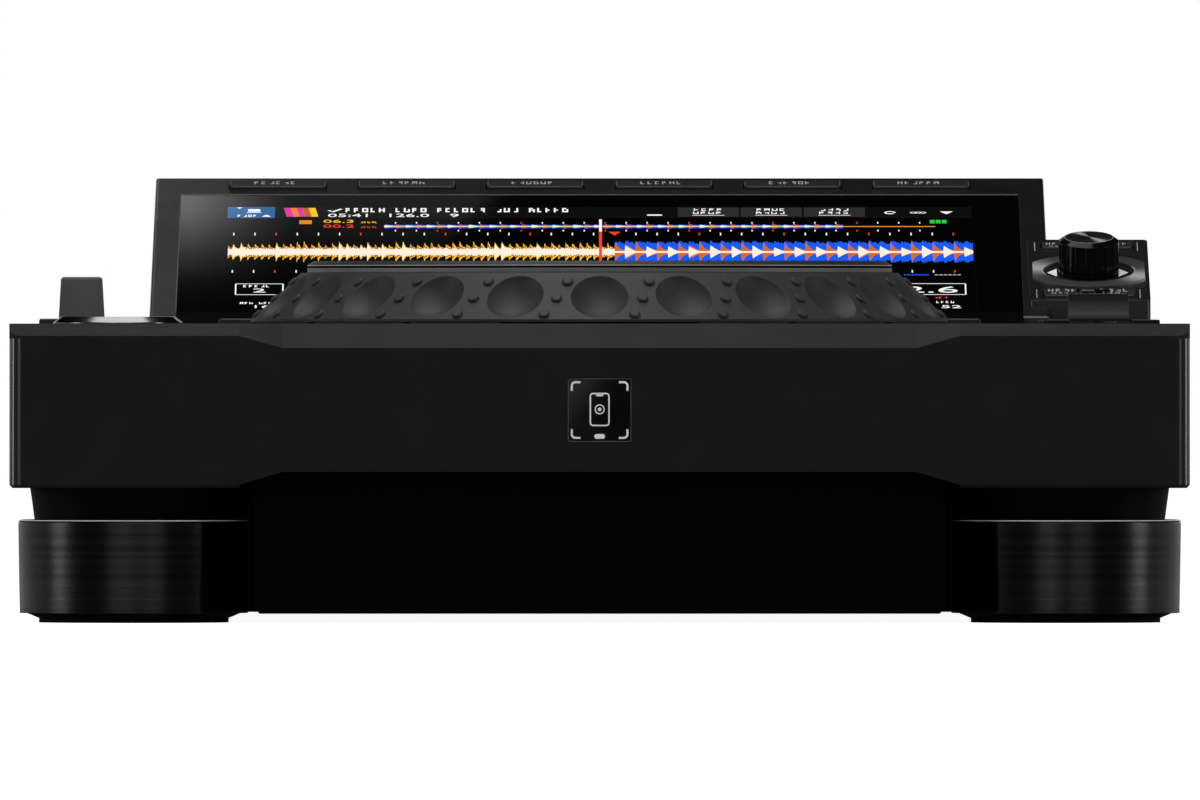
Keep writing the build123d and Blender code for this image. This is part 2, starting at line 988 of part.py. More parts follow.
# ---------------------------------------------------------------- console
def console_outline(inset, skin):
    """Side view of the console under its sloping top, as (y, z) points."""
    front = from_front(console_start) + inset
    rear = from_front(console_end) - inset
    drop = (console_rise - skin) / cos(tilt)
    front_top = slope_height(console_start + inset) + drop
    rear_top = slope_height(console_end - inset) + drop
    return ((front, deck_height), (front, front_top), (rear, rear_top), (rear, deck_height))


def selector_housing():
    """Console block let into the display's edge, hollow under its sloping top."""
    outer = side_prism(console_outline(0, 0), console_left, console_right)
    outer = fillet(outer.edges().filter_by(Axis.Z), console_corner_radius)
    hollow = side_prism(
        console_outline(console_wall, console_skin),
        console_left + console_wall,
        console_right - console_wall,
    )
    shaft_hole = console_frame * Pos(0, selector_offset, 0) * Cylinder(
        selector_shaft_radius + fine_gap, 4 * console_skin
    )
    return outer - hollow - shaft_hole - [key_hole(key) for key in console_keys]


def selector_ring():
    """Turned metal ring around the selector knob, trimmed by the console's sides."""
    ring = Cylinder(selector_ring_radius, selector_ring_height)
    ring = ring - Cylinder(selector_ring_bore, 2 * selector_ring_height)
    ring = ring & Box(
        console_width - 2 * selector_ring_margin, 3 * selector_ring_radius, selector_ring_radius
    )
    return console_frame * Pos(0, selector_offset, selector_ring_height / 2) * ring


def selector_knob():
    """Fluted rotary knob with its shaft."""
    knob = lathe(
        (
            (0, fit_gap),
            (selector_radius, fit_gap),
            (selector_radius, selector_straight),
            (selector_face_radius, selector_height),
            (0, selector_height),
        )
    )
    flute = Cylinder(selector_flute_radius, 2 * (selector_straight - selector_flute_margin))
    flute_circle = selector_radius + selector_flute_radius - selector_flute_depth
    flutes = PolarLocations(flute_circle, selector_flutes) * flute
    shaft = Pos(0, 0, fit_gap - console_skin) * Cylinder(selector_shaft_radius, 2 * console_skin)
    return console_frame * Pos(0, selector_offset, 0) * (knob - flutes + shaft)


# ---------------------------------------------------------------- lever
def lever_window(z0, z1, extra):
    """Window that the lever swings in, widened along X by extra."""
    half_x = lever_base_width / 2 + fit_gap + extra
    swing = radians(lever_swing)
    climb = lever_pivot_depth + lever_plate_height
    reach = lever_thickness / 2 / cos(swing) + climb * tan(swing) + fit_gap
    middle = from_front(lever_row)
    return block(lever_x - half_x, lever_x + half_x, middle - reach, middle + reach, z0, z1)


def lever_plate():
    """Base plate on the deck, with two ears under it that hold the lever's axle."""
    middle = from_front(lever_row)
    top = deck_height + lever_plate_height
    plate = block(
        lever_x - lever_plate_left,
        lever_x + lever_plate_right,
        middle - lever_plate_half_depth,
        middle + lever_plate_half_depth,
        deck_height,
        top,
    )
    plate = chamfer(plate.faces().sort_by(Axis.Z)[-1].edges(), lever_plate_chamfer)
    plate = plate - lever_window(deck_height - cut_over, top + cut_over, 0)
    axle_z = deck_height - lever_pivot_depth
    inner = lever_base_width / 2 + fit_gap
    half_y = lever_root_radius
    bore = Pos(lever_x, middle, axle_z) * Rot(0, 90, 0) * Cylinder(
        lever_pivot_radius + fine_gap, 4 * lever_base_width
    )
    for x0, x1 in (
        (lever_x - inner - lever_ear, lever_x - inner),
        (lever_x + inner, lever_x + inner + lever_ear),
    ):
        floor = axle_z - lever_pivot_radius - lever_ear_floor
        crown = top - lever_plate_chamfer
        plate = plate + block(x0, x1, middle - half_y, middle + half_y, floor, crown)
    return plate - bore


def direction_lever():
    """Paddle lever on a cross axle."""
    middle = from_front(lever_row)
    axle_z = deck_height - lever_pivot_depth
    top = deck_height + lever_height
    half_base = lever_base_width / 2
    half_top = lever_top_width / 2
    half_y = lever_thickness / 2
    base = deck_height - lever_pivot_depth
    outline = make_face(
        Polyline(
            (lever_x - half_base, middle - half_y, base),
            (lever_x + half_base, middle - half_y, base),
            (lever_x + half_base, middle - half_y, deck_height),
            (lever_x + half_top, middle - half_y, top),
            (lever_x - half_top, middle - half_y, top),
            (lever_x - half_base, middle - half_y, deck_height),
            close=True,
        )
    )
    paddle = extrude(outline, amount=lever_thickness, dir=(0, 1, 0))
    top_edges = paddle.faces().sort_by(Axis.Z)[-1].edges()
    paddle = fillet(top_edges, lever_top_radius)
    root = Pos(lever_x, middle, axle_z) * Rot(0, 90, 0) * Cylinder(
        lever_root_radius, lever_base_width
    )
    axle = Pos(lever_x, middle, axle_z) * Rot(0, 90, 0) * Cylinder(
        lever_pivot_radius, lever_base_width + 2 * lever_ear
    )
    return paddle + root + axle


# ---------------------------------------------------------------- tempo slider
tempo_y = from_front(tempo_row)
tempo_slot_half = tempo_travel + tempo_stem_length / 2 + tempo_end_gap
tempo_plate_top = deck_height + tempo_plate_height
tempo_channel_top = deck_height + tempo_channel_floor
tempo_block_top = deck_underside - tempo_fader_wall - fit_gap


def tempo_slot(z0, z1):
    """Long slot that the slider's stem runs in."""
    return block(
        right_column - tempo_slot_width / 2,
        right_column + tempo_slot_width / 2,
        tempo_y - tempo_slot_half,
        tempo_y + tempo_slot_half,
        z0,
        z1,
    )


def tempo_plate():
    """Thin trim plate around the slot."""
    plate = block(
        right_column - tempo_plate_width / 2,
        right_column + tempo_plate_width / 2,
        tempo_y - tempo_plate_length / 2,
        tempo_y + tempo_plate_length / 2,
        deck_height,
        tempo_plate_top,
    )
    plate = fillet(plate.edges().filter_by(Axis.Z), tempo_plate_corner)
    plate = chamfer(plate.faces().sort_by(Axis.Z)[-1].edges(), edge_break)
    channel = block(
        right_column - tempo_knob_width / 2 - tempo_channel_gap,
        right_column + tempo_knob_width / 2 + tempo_channel_gap,
        tempo_y - tempo_plate_length / 2 - cut_over,
        tempo_y + tempo_plate_length / 2 + cut_over,
        tempo_channel_top,
        tempo_plate_top + cut_over,
    )
    return plate - channel - tempo_slot(deck_height - cut_over, tempo_plate_top + cut_over)


def tempo_fader():
    """Fader body under the deck that guides the sliding block."""
    half_x = tempo_block_width / 2 + fit_gap
    half_y = tempo_slot_half
    floor = tempo_block_top - tempo_block_height - fit_gap
    body = block(
        right_column - half_x - tempo_fader_wall,
        right_column + half_x + tempo_fader_wall,
        tempo_y - half_y - tempo_fader_wall,
        tempo_y + half_y + tempo_fader_wall,
        floor - tempo_fader_wall,
        deck_underside,
    )
    channel = block(
        right_column - half_x,
        right_column + half_x,
        tempo_y - half_y,
        tempo_y + half_y,
        floor,
        tempo_block_top + fit_gap,
    )
    return body - channel - tempo_slot(floor, deck_underside + cut_over)


def tempo_knob():
    """Slider cap with concave flanks, on its stem and block."""
    base = tempo_channel_top + fit_gap
    foot = base + tempo_knob_foot
    top = base + tempo_knob_height
    half_foot = tempo_knob_length / 2
    half_top = tempo_knob_top_length / 2
    x0 = right_column - tempo_knob_width / 2
    sag_y = (half_foot + half_top) / 2 - tempo_knob_scoop
    sag_z = (foot + top) / 2 - tempo_knob_hollow

    def at(y, z):
        return (x0, tempo_y + y, z)

    outline = make_face(
        [
            Line(at(-half_foot, foot), at(-half_foot, base)),
            Line(at(-half_foot, base), at(half_foot, base)),
            Line(at(half_foot, base), at(half_foot, foot)),
            ThreePointArc(at(half_foot, foot), at(sag_y, sag_z), at(half_top, top)),
            Line(at(half_top, top), at(-half_top, top)),
            ThreePointArc(at(-half_top, top), at(-sag_y, sag_z), at(-half_foot, foot)),
        ]
    )
    cap = extrude(outline, amount=tempo_knob_width, dir=(1, 0, 0))
    stem = block(
        right_column - tempo_stem_width / 2,
        right_column + tempo_stem_width / 2,
        tempo_y - tempo_stem_length / 2,
        tempo_y + tempo_stem_length / 2,
        tempo_block_top - tempo_stem_root,
        base + tempo_stem_root,
    )
    slider = block(
        right_column - tempo_block_width / 2,
        right_column + tempo_block_width / 2,
        tempo_y - tempo_stem_length / 2,
        tempo_y + tempo_stem_length / 2,
        tempo_block_top - tempo_block_height,
        tempo_block_top,
    )
    return cap + stem + slider


# ---------------------------------------------------------------- other deck pieces
def transport_rings():
    """Bright bevelled rings around the two transport keys."""
    outer = transport_radius + fit_gap + transport_ring_width
    inner = transport_radius + fit_gap
    ring = lathe(
        (
            (inner, deck_height),
            (outer, deck_height),
            (outer, deck_height + transport_ring_foot),
            (inner + transport_ring_crown, deck_height + transport_ring_height),
            (inner, deck_height + transport_ring_height),
        )
    )
    rows = (play_row, cue_row)
    return Part() + [Pos(left_column, from_front(row), 0) * ring for row in rows]


def adjust_knob():
    """Low knob that sets how heavy the wheel feels."""
    place = Pos(right_column, from_front(adjust_row), deck_height)
    cap = lathe(
        (
            (0, fit_gap),
            (adjust_radius, fit_gap),
            (adjust_radius - adjust_taper, adjust_height - adjust_chamfer),
            (adjust_radius - adjust_taper - adjust_chamfer, adjust_height),
            (0, adjust_height),
        )
    )
    groove = Cylinder(adjust_groove_radius, 4 * adjust_height)
    groove_circle = adjust_radius + adjust_groove_radius - adjust_groove_depth
    grooves = PolarLocations(groove_circle, adjust_grooves) * groove
    shaft = Pos(0, 0, (fit_gap - adjust_shaft_depth) / 2) * Cylinder(
        adjust_shaft_radius, adjust_shaft_depth + fit_gap
    )
    return place * (cap - grooves + shaft)


def media_slot():
    """Flush holder with a slot for a memory stick."""
    place = Pos(media_x, from_front(media_row), deck_height)
    body = Pos(0, 0, -media_depth / 2) * Box(media_width, media_length, media_depth)
    cavity = Pos(0, 0, media_floor - media_depth / 2) * Box(
        media_slot_width, media_slot_length, media_depth
    )
    return place * (body - cavity)


# ---------------------------------------------------------------- rear
def rear_rod(x, z, y0, y1, radius):
    """Cylinder along Y at the rear."""
    return Pos(x, (y0 + y1) / 2, z) * Rot(90, 0, 0) * Cylinder(radius, y1 - y0)


def rear_screw_places():
    """Places (x, z) of the rear panel's screws, in two rows."""
    inset = rear_screw_radius + rear_screw_margin
    rows = (rear_panel_bottom + inset, rear_panel_top - inset)
    across = rear_panel_half_width - inset
    return [(x, z) for x in (-across, 0.0, across) for z in rows]


def rear_screw_hole(x, z):
    """Through hole of one rear panel screw."""
    return rear_rod(x, z, rear_pocket_back - cut_over, rear_face + cut_over, rear_screw_shank + fine_gap)


def rear_panel():
    """Connector panel set flush in the rear wall."""
    panel = rear_block(0, rear_inside, rear_face)
    y0 = rear_inside - cut_over
    y1 = rear_face + cut_over
    cutters = [
        port_box(inlet_x, port_z, inlet_width, inlet_height, fine_gap, y0, y1),
        port_box(usb_b_x, port_z, usb_b_width, usb_b_height, fine_gap, y0, y1),
        port_box(lan_x, port_z, lan_width, lan_height, fine_gap, y0, y1),
        port_box(power_key_x, port_z, power_key_width, power_key_height, fit_gap, y0, y1),
    ]
    for x in jack_places():
        cutters.append(rear_rod(x, port_z, y0, y1, jack_radius + fine_gap))
    cutters.extend(rear_screw_hole(x, z) for x, z in rear_screw_places())
    return panel - cutters


def port_box(x, z, width, height, gap, y0, y1):
    """Box of a port between two depths, grown by a gap."""
    return block(
        x - width / 2 - gap, x + width / 2 + gap, y0, y1, z - height / 2 - gap, z + height / 2 + gap
    )


def jack_places():
    """X of the round jacks."""
    return [jack_first_x + index * jack_pitch for index in range(jack_count)]


def phono_jacks():
    """Round phono jacks with their mounting collars."""
    one = rear_rod(0, port_z, rear_inside, rear_face + jack_length, jack_radius)
    one = one + rear_rod(0, port_z, rear_inside - jack_root, rear_inside, jack_base_radius)
    one = one - rear_rod(0, port_z, rear_inside - cut_over, rear_face + jack_length + cut_over, jack_bore)
    return [Pos(x, 0, 0) * one for x in jack_places()]


def port_shell(x, z, width, height, depth):
    """Socket shell, open to the rear."""
    shell = port_box(x, z, width, height, 0, rear_face - depth, rear_face)
    return shell - port_box(
        x, z, width, height, -port_wall, rear_face - depth + port_wall, rear_face + cut_over
    )


def rear_sockets():
    """Phono jacks, square data port and network port."""
    square_port = port_shell(usb_b_x, port_z, usb_b_width, usb_b_height, port_depth)
    network_port = port_shell(lan_x, port_z, lan_width, lan_height, port_depth)
    return Part() + phono_jacks() + [square_port, network_port]


def power_inlet():
    """Mains inlet with three pins."""
    shell = port_shell(inlet_x, port_z, inlet_width, inlet_height, inlet_depth)
    pin_y = rear_face - inlet_depth + port_wall - pin_root
    tip_y = rear_face - pin_recess
    for x, z in ((-pin_spread, pin_low), (0.0, pin_high), (pin_spread, pin_low)):
        shell = shell + port_box(inlet_x + x, port_z + z, pin_width, pin_height, 0, pin_y, tip_y)
    return shell


def power_button():
    """Push key of the mains switch, on the rear."""
    face = rear_face + power_key_rise
    foot = rear_inside - key_flange_gap
    plan = (power_key_x, port_z, power_key_width, power_key_height)
    key = port_box(*plan, 0, foot - power_key_depth, face)
    flange = port_box(*plan, key_flange, foot - key_flange_thickness, foot)
    return key + flange


def case_screws():
    """Pan-head screws that hold the rear panel."""
    screws = []
    drive = Box(rear_screw_radius, rear_screw_height, rear_screw_drive)
    drive = drive + Box(rear_screw_drive, rear_screw_height, rear_screw_radius)
    for x, z in rear_screw_places():
        head = rear_rod(x, z, rear_face, rear_face + rear_screw_height, rear_screw_radius)
        head = chamfer(head.faces().sort_by(Axis.Y)[-1].edges(), rear_screw_chamfer)
        shank = rear_rod(x, z, rear_pocket_back, rear_face, rear_screw_shank)
        screws.append(head + shank - Pos(x, rear_face + rear_screw_height, z) * drive)
    return Part() + screws


# ---------------------------------------------------------------- inside
tray_floor = chassis_clearance + chassis_sheet
supply_right = chassis_half_width - chassis_sheet - board_side_margin
supply_left = supply_right - supply_width
board_left = -supply_right
board_right = supply_left - board_supply_gap


def main_board():
    """Circuit board on four posts in the tray."""
    y0 = from_front(board_front)
    y1 = from_front(board_rear)
    top = tray_floor + board_standoff
    board = block(board_left, board_right, y0, y1, top, top + board_thickness)
    inset = 2 * board_post_radius
    for x in (board_left + inset, board_right - inset):
        for y in (y0 + inset, y1 - inset):
            board = board + rod(x, y, tray_floor, top, board_post_radius)
    chip_x = (board_left + board_right) / 2
    chip = Pos(chip_x, from_front(chip_row), top + chip_height / 2) * Box(
        chip_side, chip_side, chip_height
    )
    return board + chip


def power_supply():
    """Sheet-metal case of the supply on the tray floor."""
    length = supply_rear - supply_front
    middle = from_front((supply_front + supply_rear) / 2)
    case = Box(supply_width, length, supply_height)
    case = case - Box(
        supply_width - 2 * supply_sheet, length - 2 * supply_sheet, supply_height - 2 * supply_sheet
    )
    return Pos(supply_right - supply_width / 2, middle, tray_floor + supply_height / 2) * case


# ---------------------------------------------------------------- all nodes
nodes = {
    "upper_case": upper_case(),
    "deck_plate": deck_plate(),
    "lower_chassis": lower_chassis(),
    "touch_window": touch_window(),
    "foot_necks": at_feet(foot_neck()),
    "foot_drums": at_feet(foot_drum()),
    "foot_soles": at_feet(foot_sole()),
    "jog_skirt": jog_skirt(),
    "jog_top": jog_top(),
    "jog_spindle": jog_spindle(),
    "jog_display": jog_display(),
    "display_housing": display_housing(),
    "display_glass": display_glass(),
    "display_panel": display_panel(),
    "selector_housing": selector_housing(),
    "selector_ring": selector_ring(),
    "selector_knob": selector_knob(),
    "lever_plate": lever_plate(),
    "direction_lever": direction_lever(),
    "tempo_plate": tempo_plate(),
    "tempo_fader": tempo_fader(),
    "tempo_knob": tempo_knob(),
    "transport_rings": transport_rings(),
    "adjust_knob": adjust_knob(),
    "media_slot": media_slot(),
    "rear_panel": rear_panel(),
    "rear_sockets": rear_sockets(),
    "power_inlet": power_inlet(),
    "power_button": power_button(),
    "case_screws": case_screws(),
    "main_board": main_board(),
    "power_supply": power_supply(),
}
for key in deck_keys + bezel_keys + console_keys:
    nodes[key.name] = key_solid(key)

os.makedirs("parts", exist_ok=True)
for node_name, shape in nodes.items():
    export_step(shape, "parts/%s.step" % node_name)
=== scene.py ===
"""Looks of a tabletop media player: finishes, display graphics, legends, lamps and camera.

Lengths in the classes are millimetres in the object's own frame: X to the right, Y to
the rear, Z up, origin on the table under the middle of the case.
"""

import json
import logging
import math
import random
from dataclasses import dataclass
from enum import Enum
from typing import Any, Iterable, Optional, Sequence, Union

import bmesh
import bpy
from mathutils import Matrix, Vector

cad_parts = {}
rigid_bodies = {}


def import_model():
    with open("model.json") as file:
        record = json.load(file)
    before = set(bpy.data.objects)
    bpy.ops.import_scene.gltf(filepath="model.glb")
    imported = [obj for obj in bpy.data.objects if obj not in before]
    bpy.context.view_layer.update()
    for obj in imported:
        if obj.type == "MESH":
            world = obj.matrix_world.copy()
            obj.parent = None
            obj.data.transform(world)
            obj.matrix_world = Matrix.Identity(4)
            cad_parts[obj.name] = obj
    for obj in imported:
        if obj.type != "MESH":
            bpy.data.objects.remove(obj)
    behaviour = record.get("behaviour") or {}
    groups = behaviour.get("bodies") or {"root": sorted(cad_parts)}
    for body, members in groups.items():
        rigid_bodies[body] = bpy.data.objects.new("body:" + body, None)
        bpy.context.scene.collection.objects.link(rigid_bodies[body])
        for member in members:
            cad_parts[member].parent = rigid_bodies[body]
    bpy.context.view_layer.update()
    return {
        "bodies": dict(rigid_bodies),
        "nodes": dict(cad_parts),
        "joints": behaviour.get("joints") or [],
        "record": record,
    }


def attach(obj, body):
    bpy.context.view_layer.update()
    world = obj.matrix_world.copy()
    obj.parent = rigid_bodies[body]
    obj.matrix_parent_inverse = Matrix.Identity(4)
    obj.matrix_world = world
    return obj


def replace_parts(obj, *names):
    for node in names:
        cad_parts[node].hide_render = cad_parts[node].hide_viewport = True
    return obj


MM = 0.001
PLAYER = "player"
SIDES = ((-1, "left"), (1, "right"))
LOG = logging.getLogger("media_player")

Colour = tuple[float, float, float]
Point = tuple[float, float]
Place = tuple[float, float, float]
Socket = bpy.types.NodeSocket
Feed = Union[Socket, float, int, bool, Colour, tuple[float, float, float, float]]

# Heights of a thin layer's floor and top over the surface that it lies on.
INK = (0.004, 0.03)
FAINT = (0.004, 0.02)
FRAME = (0.005, 0.03)
TAG = (0.006, 0.03)
FILM = (0.006, 0.036)
ICON = (0.012, 0.04)
TITLE = (0.012, 0.042)
OVER_TAG = (0.025, 0.05)
HEAD = (0.1, 0.13)

# How far a finish's roughness swings, the grain heights that give its ends, the depth of
# its relief in mm, and the clear coat's roughness and the width of its edge in mm.
ROUGH_SWING = 0.08
GRAIN_ENDS = (0.3, 0.7)
RELIEF_DEPTH = 0.05
COAT_ROUGHNESS = 0.16
COAT_EDGE = 0.4


# ------------------------------------------------------------------ frames of the object
def shift(x: float, y: float, z: float = 0.0) -> Matrix:
    """Matrix that moves by so many mm."""
    return Matrix.Translation((x, y, z))


def frame_at(x: float, y: float, z: float, tilt: float = 0.0, turn: float = 0.0) -> Matrix:
    """Frame at a place in mm, tilted by degrees about X and then turned about Z."""
    turned = Matrix.Rotation(math.radians(turn), 4, "Z")
    return shift(x, y, z) @ turned @ Matrix.Rotation(math.radians(tilt), 4, "X")


@dataclass(frozen=True)
class Layout:
    """Places that several sub-assemblies share."""

    front: float = -226.5
    deck: float = 83.5
    tilt: float = 14.1
    screen_y: float = 54.3
    jog_y: float = -98.6
    left_column: float = -134.9
    right_column: float = 140.3
    lever_x: float = -146.6
    console_x: float = 140.65
    knob_y: float = 32.5
    foot_x: float = 130.2
    foot_y: float = 192.2

    def screen(self) -> Matrix:
        """Frame of the display: x to the right, y up the slope, z out of the glass."""
        return frame_at(0.0, self.screen_y, self.deck, self.tilt)

    def console(self) -> Matrix:
        """Frame of the selector console's top, at the middle of its lower edge."""
        return self.screen() @ shift(self.console_x, 19.8, 1.85)

    def top(self, x: float, distance: float, lift: float = 0.0) -> Matrix:
        """Level frame on the deck, this far behind the front."""
        return frame_at(x, self.front + distance, self.deck + lift)


LAYOUT = Layout()
FEET = tuple(
    (sx * LAYOUT.foot_x, sy * LAYOUT.foot_y, "%s_%s" % (side, end))
    for sx, side in SIDES
    for sy, end in ((-1, "front"), (1, "rear"))
)


# ------------------------------------------------------------------ node wiring
class Graph:
    """A node tree that is being wired up."""

    def __init__(self, tree: bpy.types.NodeTree) -> None:
        """Takes a tree and empties it."""
        self.tree = tree
        tree.nodes.clear()

    def add(
        self, kind: str, feeds: Optional[dict[Union[int, str], Feed]] = None, **settings: Any
    ) -> bpy.types.Node:
        """Adds a node.

        Args:
            kind: Blender's name of the node type.
            feeds: what its inputs take, by name or number.
            **settings: properties to set on it.

        Returns:
            The new node.
        """
        node = self.tree.nodes.new(kind)
        for key, value in settings.items():
            setattr(node, key, value)
        self.dress(node, feeds or {})
        return node

    def dress(self, node: bpy.types.Node, feeds: dict[Union[int, str], Feed]) -> None:
        """Feeds a node's inputs by name or number."""
        for key, value in feeds.items():
            self.feed(node.inputs[key], value)

    def feed(self, target: Socket, value: Feed) -> None:
        """Links a socket to another, or sets its value."""
        if isinstance(value, bpy.types.NodeSocket):
            self.tree.links.new(value, target)
        elif isinstance(value, tuple) and len(value) == 3 and target.type == "RGBA":
            target.default_value = (*value, 1.0)
        else:
            target.default_value = value

    def math(self, operation: str, *values: Feed) -> Socket:
        """Adds a Math node on up to three values and returns its result."""
        return self.add("ShaderNodeMath", dict(enumerate(values)), operation=operation).outputs[0]

    def blend(self, factor: Feed, low: Feed, high: Feed) -> Socket:
        """Mixes two colours and returns the result."""
        return self.add("ShaderNodeMix", {0: factor, 6: low, 7: high}, data_type="RGBA").outputs[2]

    def spread(self, value: Feed, low: float, high: float, start: Feed = 0.0, end: Feed = 1.0) -> Socket:
        """Maps a value from low..high to start..end, clamped, and returns the result."""
        feeds = dict(enumerate((value, low, high, start, end)))
        return self.add("ShaderNodeMapRange", feeds, clamp=True).outputs[0]

    def noise(self, feeds: dict[Union[int, str], Feed], dimensions: str = "3D") -> Socket:
        """Adds a noise texture and returns its value."""
        return self.add("ShaderNodeTexNoise", feeds, noise_dimensions=dimensions).outputs["Fac"]

    def split(self, vector: Socket) -> Sequence[Socket]:
        """Takes a vector apart and returns its x, y and z."""
        return self.add("ShaderNodeSeparateXYZ", {0: vector}).outputs

    def join(self, x: Feed = 0.0, y: Feed = 0.0, z: Feed = 0.0) -> Socket:
        """Puts a vector together and returns it."""
        return self.add("ShaderNodeCombineXYZ", {0: x, 1: y, 2: z}).outputs[0]

    def coordinates(self, kind: str = "Object") -> Socket:
        """Adds a Texture Coordinate node and returns one of its outputs."""
        return self.add("ShaderNodeTexCoord").outputs[kind]


class Effect:
    """A shader node group that several finishes share."""

    made: dict[str, bpy.types.NodeTree] = {}

    def __init__(self, name: str, inputs: dict[str, Any], outputs: dict[str, str]) -> None:
        """Starts a group with named sockets.

        Args:
            name: name of the group.
            inputs: default of each input; a tuple makes it a vector.
            outputs: socket kind of each output.
        """
        tree = bpy.data.node_groups.new(name, "ShaderNodeTree")
        for label, default in inputs.items():
            kind = "NodeSocketVector" if isinstance(default, tuple) else "NodeSocketFloat"
            tree.interface.new_socket(label, in_out="INPUT", socket_type=kind).default_value = default
        for label, kind in outputs.items():
            tree.interface.new_socket(label, in_out="OUTPUT", socket_type=kind)
        self.graph = Graph(tree)
        self.inside = self.graph.add("NodeGroupInput").outputs
        self.result = self.graph.add("NodeGroupOutput").inputs
        Effect.made[name] = tree

    @classmethod
    def place(cls, graph: Graph, name: str, **values: Feed) -> Sequence[Socket]:
        """Puts a group in a material.

        Args:
            graph: the material's graph.
            name: name of the group.
            **values: inputs by name.

        Returns:
            The group's outputs.
        """
        return graph.add("ShaderNodeGroup", values, node_tree=cls.made[name]).outputs


def make_effects() -> None:
    """Builds the shared shader groups: grain, turned lines with the mask of a painted streak, handling, and soft edges
    with the mask for painted edge highlights.
    """
    plain, origin = "NodeSocketFloat", (0.0, 0.0, 0.0)
    grain = Effect("grain", {"Vector": origin, "Size": 0.3}, {"Height": plain, "Patch": plain})
    g, place = grain.graph, grain.inside["Vector"]
    per_metre = g.math("DIVIDE", 1.0 / MM, grain.inside["Size"])
    fine = g.noise({"Vector": place, "Scale": per_metre, "Detail": 3.0, "Roughness": 0.6})
    broad = g.noise({"Vector": place, "Scale": g.math("MULTIPLY", per_metre, 0.012), "Detail": 2.0})
    g.feed(grain.result["Height"], fine)
    g.feed(grain.result["Patch"], g.spread(broad, 0.3, 0.7))

    turned = Effect(
        "turned",
        {"Vector": origin, "Pitch": 0.2, "Turn": 0.0, "Narrow": 6.0},
        {"Height": plain, "Band": plain, "Streak": plain},
    )
    g = turned.graph
    x, y, z = g.split(turned.inside["Vector"])
    # Streak is the mask of a painted reflection, strongest along Turn.
    turn = g.math("MULTIPLY", turned.inside["Turn"], math.pi / 180.0)
    aligned = g.math("COSINE", g.math("SUBTRACT", g.math("ARCTAN2", y, x), turn))
    g.feed(turned.result["Streak"], g.math("POWER", g.math("ABSOLUTE", aligned), turned.inside["Narrow"]))
    radius = g.math("SQRT", g.math("MULTIPLY_ADD", y, y, g.math("MULTIPLY", x, x)))
    steps = g.math("DIVIDE", g.math("ADD", radius, z), g.math("MULTIPLY", turned.inside["Pitch"], MM))
    lines = g.noise({"W": steps, "Scale": 1.0, "Detail": 2.0}, "1D")
    bands = g.noise({"W": g.math("MULTIPLY", steps, 0.11), "Scale": 1.0, "Detail": 1.0}, "1D")
    g.feed(turned.result["Height"], lines)
    g.feed(turned.result["Band"], g.spread(bands, 0.35, 0.65))

    handling = Effect("handling", {"Vector": origin}, {"Smudge": plain, "Dust": plain})
    g, place = handling.graph, handling.inside["Vector"]
    swirl = g.noise({"Vector": place, "Scale": 22.0, "Detail": 4.0, "Distortion": 1.2})
    specks = g.add("ShaderNodeTexVoronoi", {"Vector": place, "Scale": 420.0}, feature="F1")
    g.feed(handling.result["Smudge"], g.spread(swirl, 0.38, 0.68))
    g.feed(handling.result["Dust"], g.spread(specks.outputs["Distance"], 0.03, 0.1, 1.0, 0.0))

    # Edge is the mask along edges that finishes paint lighter as a highlight; Normal rounds the edges' shading.
    edges = Effect("soft_edges", {"Radius": 0.0003}, {"Normal": "NodeSocketVector", "Edge": plain})
    g = edges.graph
    soft = g.add("ShaderNodeBevel", {"Radius": edges.inside["Radius"]}, samples=6).outputs[0]
    flat = g.add("ShaderNodeNewGeometry").outputs["Normal"]
    agree = g.add("ShaderNodeVectorMath", {0: soft, 1: flat}, operation="DOT_PRODUCT").outputs["Value"]
    g.feed(edges.result["Normal"], soft)
    g.feed(edges.result["Edge"], g.spread(agree, 0.8, 0.99, 1.0, 0.0))


# ------------------------------------------------------------------ finishes
class Texture(Enum):
    """What a surface's fine structure is like."""

    SMOOTH = "smooth"
    GRAINED = "grained"
    TURNED = "turned"


@dataclass(frozen=True)
class Dress:
    """A material with a name and a linear shade."""

    name: str
    shade: Colour

    def material(self) -> bpy.types.Material:
        """Returns the material, built on first use."""
        made = bpy.data.materials.get(self.name)
        if made is None:
            made = bpy.data.materials.new(self.name)
            made.use_nodes = True
            made.diffuse_color = (*self.shade, 1.0)
            g = Graph(made.node_tree)
            skin = g.add("ShaderNodeBsdfPrincipled")
            g.add("ShaderNodeOutputMaterial", {"Surface": skin.outputs[0]})
            self.wire(g, skin)
        return made

    def scaled(self, factor: float) -> Colour:
        """The shade, this many times as bright, at most 1."""
        return tuple(min(1.0, part * factor) for part in self.shade)

    def wire(self, g: Graph, skin: bpy.types.Node) -> None:
        """Wires the look into the material's Principled node."""
        raise NotImplementedError


